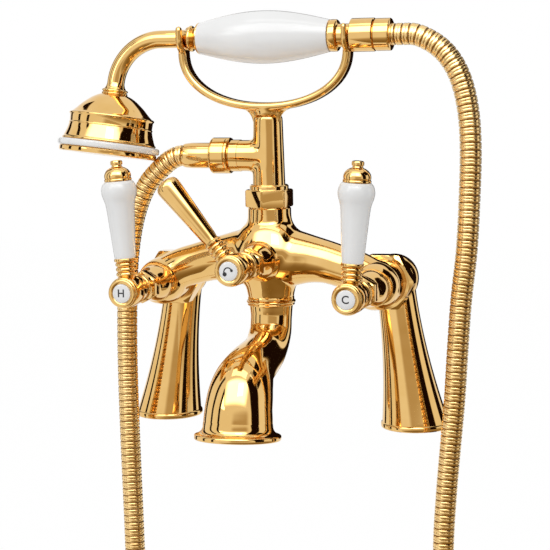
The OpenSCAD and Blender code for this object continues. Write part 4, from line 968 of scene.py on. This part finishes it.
# %% [markdown]
# ## Cradle
# The cradle is a forged bow: a flat band with round edges that spreads from the top of the
# column and ends in two hooks, open at the top, for the necks of the hand shower. A band
# could be swept with a profile; here several round bars lie side by side along the same
# ellipse, the hooks and a flared foot join them, and all are melted into one piece.

# %% Cradle
CRADLE_Y = grip_mid.y
FORK_X, BOW_DEEP, BOW_Z, BOW_FULL = 57, 36.0, 254.0, 0.93
BAR_R, BAND_HALF, HOOK_RISE, FILLET_R = 2.75, 3.5, 5.8, 2.4


def bow_point(degrees, y):
    """A point on the bow, a slightly full ellipse open at the top."""
    a = math.radians(degrees)
    x = math.copysign(abs(math.cos(a)) ** BOW_FULL, math.cos(a)) * FORK_X
    z = BOW_Z - abs(math.sin(a)) ** BOW_FULL * BOW_DEEP
    return Vector((x * MM, CRADLE_Y + y * MM, z * MM))


bars = []
for y in (-BAND_HALF, -BAND_HALF / 2, 0, BAND_HALF / 2, BAND_HALF):
    bow = [bow_point(180 + 3.75 * i, y) for i in range(49)]
    bars.append(round_bar("bow", bow, BAR_R * MM, Matrix.Identity(4)))
for x, hook_r, wire in ((-FORK_X, 8.9, 2.4), (FORK_X, 9.9, 2.1)):
    hook = [(-hook_r, HOOK_RISE), *arc(0, 0, hook_r, 180, 360, 20), (hook_r, HOOK_RISE)]
    hook_line = [Vector((x * MM, CRADLE_Y + y * MM, grip_mid.z + z * MM)) for y, z in hook]
    bars.append(round_bar("hook", hook_line, wire * MM, Matrix.Identity(4)))
    for y in (-hook_r, hook_r):
        tip = Matrix.Translation((x * MM, CRADLE_Y + y * MM, grip_mid.z + HOOK_RISE * MM))
        bars.append(turned("tip", [(wire, -1), *arc(0, 0, wire, 0, 80, 4)], tip, sides=24))
foot = [(9.5, 0), (9.6, 1.5), (9.8, 3.5), (9.2, 6), (6, 7.6)]
bars.append(turned("foot", soft(raised(foot, COLUMN_TOP), 4), RISER))
for x in (-1, 1):
    fillet = [Vector((x * r, 0, h)) * MM for r, h in arc(19, COLUMN_TOP - 5, 12, 180, 110, 8)]
    bars.append(round_bar("fillet", fillet, FILLET_R * MM, Matrix.Translation((0, CRADLE_Y + MM, 0))))
cradle = melted(joined("cradle_bow", bars), 0.7, 8)
show(cradle, "root", "gold", "cradle")

# %% [markdown]
# ## Grip and collars of the hand shower
# The grip is a porcelain barrel between two turned gold collars. The front collar is a cup,
# a waist and a ring, and its neck rests in the left hook. The rear one is a rounded disc
# with the neck for the right hook and the plain connector, where the hose's nut follows
# after a dark seam.

# %% Grip and collars of the hand shower
GRIP_HALF, GRIP_END_R, GRIP_SWELL = 45, 10.4, 6.9
grip_rings = [
    (GRIP_END_R + GRIP_SWELL * math.cos(math.pi / 2 * t), GRIP_HALF * t)
    for t in (i / 24 for i in range(-24, 25))
]
grip = turned("porcelain_grip", [(9.8, -GRIP_HALF), *grip_rings, (9.8, GRIP_HALF)], HAND, sides=96)
show(grip, "handset", "porcelain", "hand_grip")
front = [(9.8, 45), *arc(9.8, 45.6, 0.6, -80, 70, 4), (9.6, 46.6), (8.2, 47.6), (7.2, 49), (7, 49.8)]
front += [*arc(7.2, 51.4, 1.4, -80, 80, 8), (6.4, 53), (6, 53.6), (6, 61.4)]
show(turned("front_collar", front, HAND_LEFT), "handset", "gold", "hand_front_collar")
rear = [(9.6, 45), *arc(9.0, 46.4, 1.4, -85, 0, 4), *arc(9.0, 49.2, 1.4, 0, 85, 5), (8, 50.8), (7.5, 51.2)]
rear += [(7.5, 59.9), (10, 59.9), *arc(10.1, 60.6, 0.7, -80, 0, 3), (10.8, 74.8), (10.4, 75.3)]
rear += [(8.9, 75.4), (8.9, 80)]
show(turned("rear_collar", rear, HAND), "handset", "gold", "hand_rear_collar")
nut = [(7.4, 75.9), (10, 75.9), (10.4, 76.4), (10.4, 84.8), *arc(9.7, 85.4, 0.7, 0, 80, 3)]
nut += [(8.4, 86.3), (7.4, 86.4)]
show(ring_of("swivel_nut", nut, HAND), "handset", "gold", "hose_upper_nut")

# %% [markdown]
# ## Arm of the hand shower
# The arm is a bent tube, drawn as a bar along a short straight stretch and a bend of nearly
# a quarter turn. The bell's axis follows from the end of the bend, tilted a little towards
# the user, and a small flared sleeve is turned where the tube meets the bell.

# %% Arm of the hand shower
ARM_START, ARM_STRAIGHT, ARM_BEND_R, ARM_R = 61.5, 12.4, 32, 5.9
ARM_BEND, HAND_ROLL, BEND_STEPS = math.radians(84), math.radians(7), 24
bend_centre = (
    Matrix.Translation(grip_mid)
    @ Matrix.Rotation(-HAND_ROLL, 4, "X")
    @ Matrix.Translation(Vector((-ARM_START - ARM_STRAIGHT, 0, -ARM_BEND_R)) * MM)
)
BELL = (
    bend_centre
    @ Matrix.Rotation(-ARM_BEND, 4, "Y")
    @ Matrix.Translation((0, 0, ARM_BEND_R * MM))
    @ Matrix.Rotation(-math.pi / 2, 4, "Y")
)
arm_line = [Vector((ARM_STRAIGHT + 1, 0, ARM_BEND_R)) * MM]
for i in range(BEND_STEPS + 1):
    a = ARM_BEND * i / BEND_STEPS
    arm_line.append(Vector((-math.sin(a), 0, math.cos(a))) * ARM_BEND_R * MM)
tube = round_bar("arm_tube", arm_line, ARM_R * MM, bend_centre, 12)
sleeve = [(ARM_R - 0.1, -0.5), (ARM_R + 0.05, 1.2), (6.5, 3), (7.5, 4.4)]
parts = [tube, turned("sleeve", sleeve, BELL)]
show(joined("bent_arm", parts), "handset", "gold", "hand_arm")

# %% [markdown]
# ## Bell of the hand shower
# The bell is spun from sheet: a ringed neck, a domed crown, a narrow shoulder, a band with
# a bead and a flared skirt. Below it sit the white ring and the face plate. The plate is a
# merged copy of its CAD solid, because the spray holes come with it.

# %% Bell of the hand shower
BELL_SIDES = 96
bell = [(7.4, 4.5), *arc(8.0, 5.5, 0.8, -70, 70, 6), (7.9, 6.5), *arc(8.2, 7.4, 0.6, -60, 60, 4), (9.2, 8.3)]
bell += soft([(11.6, 9.2), (15.3, 11.4), (20.7, 15.8), (24.5, 19.7), (27, 22)], 4)
bell += [*arc(27.9, 23.3, 0.9, -60, 60, 5), (28.1, 24.6), (27.9, 28.9), *arc(27.8, 29.7, 0.6, -60, 60, 5)]
bell += soft([(28.2, 30.7), (28.9, 33.5), (30.1, 36.9), (31, 39.2)], 4)
bell += [*arc(31.1, 40.1, 0.7, -50, 60, 5), (30.6, 41.1)]
show(turned("spun_bell", bell, BELL, sides=BELL_SIDES), "handset", "gold", "hand_bell")
white = [(23.6, 41.1), (33, 41.1), *arc(33.1, 42.5, 1.4, -80, 0, 4)]
white += [*arc(33.1, 44.1, 1.4, 0, 80, 4), (23.6, 45.5)]
show(ring_of("white_ring", white, BELL, BELL_SIDES), "handset", "porcelain", "hand_ring")
show(broken(copied("face_plate", "hand_plate"), 0.35), "handset", "gold", "hand_plate")

# %% [markdown]
# ## White studio
# The photograph shows the mixer on pure white. More light would bleach the porcelain, so
# the world has two strengths: white where the camera or a mirror sees it, and a plain level
# for the light that falls on dull surfaces.

# %% White studio
SEEN_WHITE, SOFT_LIGHT = 1.0, 0.6
scene = bpy.context.scene
scene.view_settings.view_transform = "Standard"


def seen_rays(tree):
    """One for camera, mirror and glass rays, zero for the light on dull surfaces."""
    path = new_node(tree, "LightPath").outputs
    total = path["Is Camera Ray"]
    for name in ("Is Glossy Ray", "Is Transmission Ray"):
        either = new_node(tree, "Math", {0: total, 1: path[name]})
        either.operation = "MAXIMUM"
        total = either.outputs["Value"]
    return total


world = bpy.data.worlds.new("white_studio")
scene.world = world
world.use_nodes = True
tree = world.node_tree
strength = new_node(tree, "MapRange", {
    "Value": seen_rays(tree), "To Min": SOFT_LIGHT, "To Max": SEEN_WHITE,
})
feed(tree.nodes["Background"], {"Color": (1, 1, 1, 1), "Strength": strength.outputs["Result"]})
print("world:", SOFT_LIGHT, "on dull surfaces,", SEEN_WHITE, "where it is seen")

# %% [markdown]
# ## Floor
# A plain pale floor lies under the lowest point of the hose. Its paint takes the shadow of
# the mixer, and a share of glow lifts it to the white of the photograph where the camera or
# a mirror looks at it.

# %% Floor
FLOOR_SIZE, FLOOR_DROP = 8, 2 * MM
GLOW_SHARE, GLOW_STRENGTH = 0.97, 1.01
bpy.ops.mesh.primitive_plane_add(size=FLOOR_SIZE, location=(0, 1, cad_box[0].z - FLOOR_DROP))
floor = bpy.context.object
floor.name = "pale_floor"
paper = bpy.data.materials.new("pale_paper")
paper.use_nodes = True
paper.cycles.emission_sampling = "NONE"
tree = paper.node_tree
paint = feed(tree.nodes["Principled BSDF"], {"Base Color": (0.9, 0.9, 0.9, 1), "Roughness": 0.9})
glow = new_node(tree, "Emission", {"Strength": GLOW_STRENGTH})
share = new_node(tree, "MapRange", {"Value": seen_rays(tree), "To Max": GLOW_SHARE})
mix = new_node(tree, "MixShader", {
    "Fac": share.outputs["Result"], 1: paint.outputs["BSDF"], 2: glow.outputs["Emission"],
})
feed(tree.nodes["Material Output"], {"Surface": mix.outputs["Shader"]})
floor.data.materials.append(paper)
print("floor at z", round(cad_box[0].z - FLOOR_DROP, 4))

# %% [markdown]
# ## Lamps
# Three soft boxes light the mixer from the left, from the front and from above, at a low
# power, so that the porcelain keeps its shading. Lamps and cards are placed round the
# middle of the mixer by an azimuth, an elevation and a distance, and face it.

# %% Lamps
MIDDLE = Vector((0, -0.03, 0.13))


def around(azimuth, elevation, distance):
    """A point round the mixer; azimuth 0 is in front of it and grows to its right."""
    a, e = math.radians(azimuth), math.radians(elevation)
    return MIDDLE + distance * Vector((math.cos(e) * math.sin(a), -math.cos(e) * math.cos(a), math.sin(e)))


def facing(place, axis):
    """Matrix at a place with one axis turned to the mixer."""
    turn = (MIDDLE - place).to_track_quat(axis, "Y").to_matrix().to_4x4()
    return Matrix.Translation(place) @ turn


def softbox(name, place, size, power):
    lamp = bpy.data.lights.new(name, "AREA")
    lamp.shape = "RECTANGLE"
    lamp.size, lamp.size_y = size
    lamp.energy = power
    box = bpy.data.objects.new(name, lamp)
    bpy.context.collection.objects.link(box)
    box.matrix_world = facing(place, "-Z")


softbox("key_left", around(-38, 30, 1.7), (0.5, 0.9), 4.2)
softbox("key_front", around(18, 46, 1.3), (0.6, 0.5), 3)
softbox("top_strip", around(0, 78, 1.4), (1.2, 0.3), 1.8)
print("lamps:", [lamp.name for lamp in bpy.data.lights])

# %% [markdown]
# ## How a card is made
# Polished metal shows nothing but its surroundings. A photographer sets up cards that only
# the metal mirrors, and here each card glows instead of being lit. Its tone runs from the
# edge to the middle by the distance from the edge on its UV map, so it fades into the white
# around it. The camera, the dull surfaces and the shadows don't know of it.

# %% How a card is made


def card(name, place, size, tones, fade=0.06, strength=1):
    """A screen for mirrors only; tones run from its edge to its middle over the fade."""
    paper = bpy.data.materials.new(name)
    paper.use_nodes = True
    paper.cycles.emission_sampling = "NONE"
    tree = paper.node_tree
    tree.nodes.clear()
    uv = new_node(tree, "SeparateXYZ", {"Vector": new_node(tree, "TexCoord").outputs["UV"]})
    inside = new_node(tree, "Math")
    inside.operation = "MULTIPLY"
    for i, axis in enumerate("XY"):
        edge = new_node(tree, "Math", {0: uv.outputs[axis], 1: 0.5})
        edge.operation = "PINGPONG"
        ease = new_node(tree, "MapRange", {"Value": edge.outputs["Value"], "From Max": fade})
        ease.interpolation_type = "SMOOTHSTEP"
        feed(inside, {i: ease.outputs["Result"]})
    ramp = new_node(tree, "ValToRGB", {"Fac": inside.outputs["Value"]})
    for i, tone in enumerate(tones):
        stop = ramp.color_ramp.elements[i] if i < 2 else ramp.color_ramp.elements.new(1)
        stop.position = i / (len(tones) - 1)
        stop.color = (*tone, 1)
    glow = new_node(tree, "Emission", {"Color": ramp.outputs["Color"], "Strength": strength})
    new_node(tree, "OutputMaterial", {"Surface": glow.outputs["Emission"]})
    bpy.ops.mesh.primitive_plane_add(size=1)
    screen = bpy.context.object
    screen.name = name
    settle(screen, facing(place, "Z") @ Matrix.Diagonal((*size, 1, 1)))
    screen.data.materials.append(paper)
    screen.visible_camera = screen.visible_diffuse = screen.visible_shadow = False


print("ready: card")

# %% [markdown]
# ## Cards round the mixer
# A large amber screen in front gives the body of the gold, and a bright bank above it the
# white patches on the brow, the spout and the bell. Narrow dark cards at the sides and
# behind draw the brown-black lines, and a brown one on the floor darkens what looks down.

# %% Cards round the mixer
WHITE, GREY = (1, 1, 1), (0.28, 0.28, 0.28)
AMBER, BROWN, DARK = (0.58, 0.48, 0.34), (0.26, 0.17, 0.06), (0.012, 0.005, 0.002)
SHADE = [WHITE, AMBER, BROWN, DARK]
card("screen_front", around(26, -2, 1.9), (2.4, 1.5), [WHITE, AMBER], 0.25)
card("bank_front", around(6, 46, 1.3), (2.2, 1.1), [GREY, WHITE], 0.2, 4.2)
card("card_left", around(-47, 8, 1.5), (0.2, 1.9), SHADE)
card("card_far_left", around(-76, 10, 1.3), (0.2, 2.0), SHADE)
card("card_right", around(76, 16, 1.1), (0.62, 2.0), SHADE, 0.1)
card("card_back_right", around(128, 8, 1.2), (0.5, 2.0), SHADE)
card("card_back_left", around(-116, 14, 1.2), (0.3, 1.8), SHADE)
card("card_high_right", around(112, 40, 1.2), (1.3, 0.7), SHADE)
card("card_back", around(179, 8, 1.2), (1.2, 1.2), SHADE)
card("card_floor", Vector((0.1, -0.1, cad_box[0].z - MM)), (4, 4), [WHITE, AMBER, BROWN], 0.4)

# %% [markdown]
# ## Size
# The box of the CAD model is printed, in metres.

# %% Size
print("CAD box", [round(x, 4) for c in cad_box for x in c])
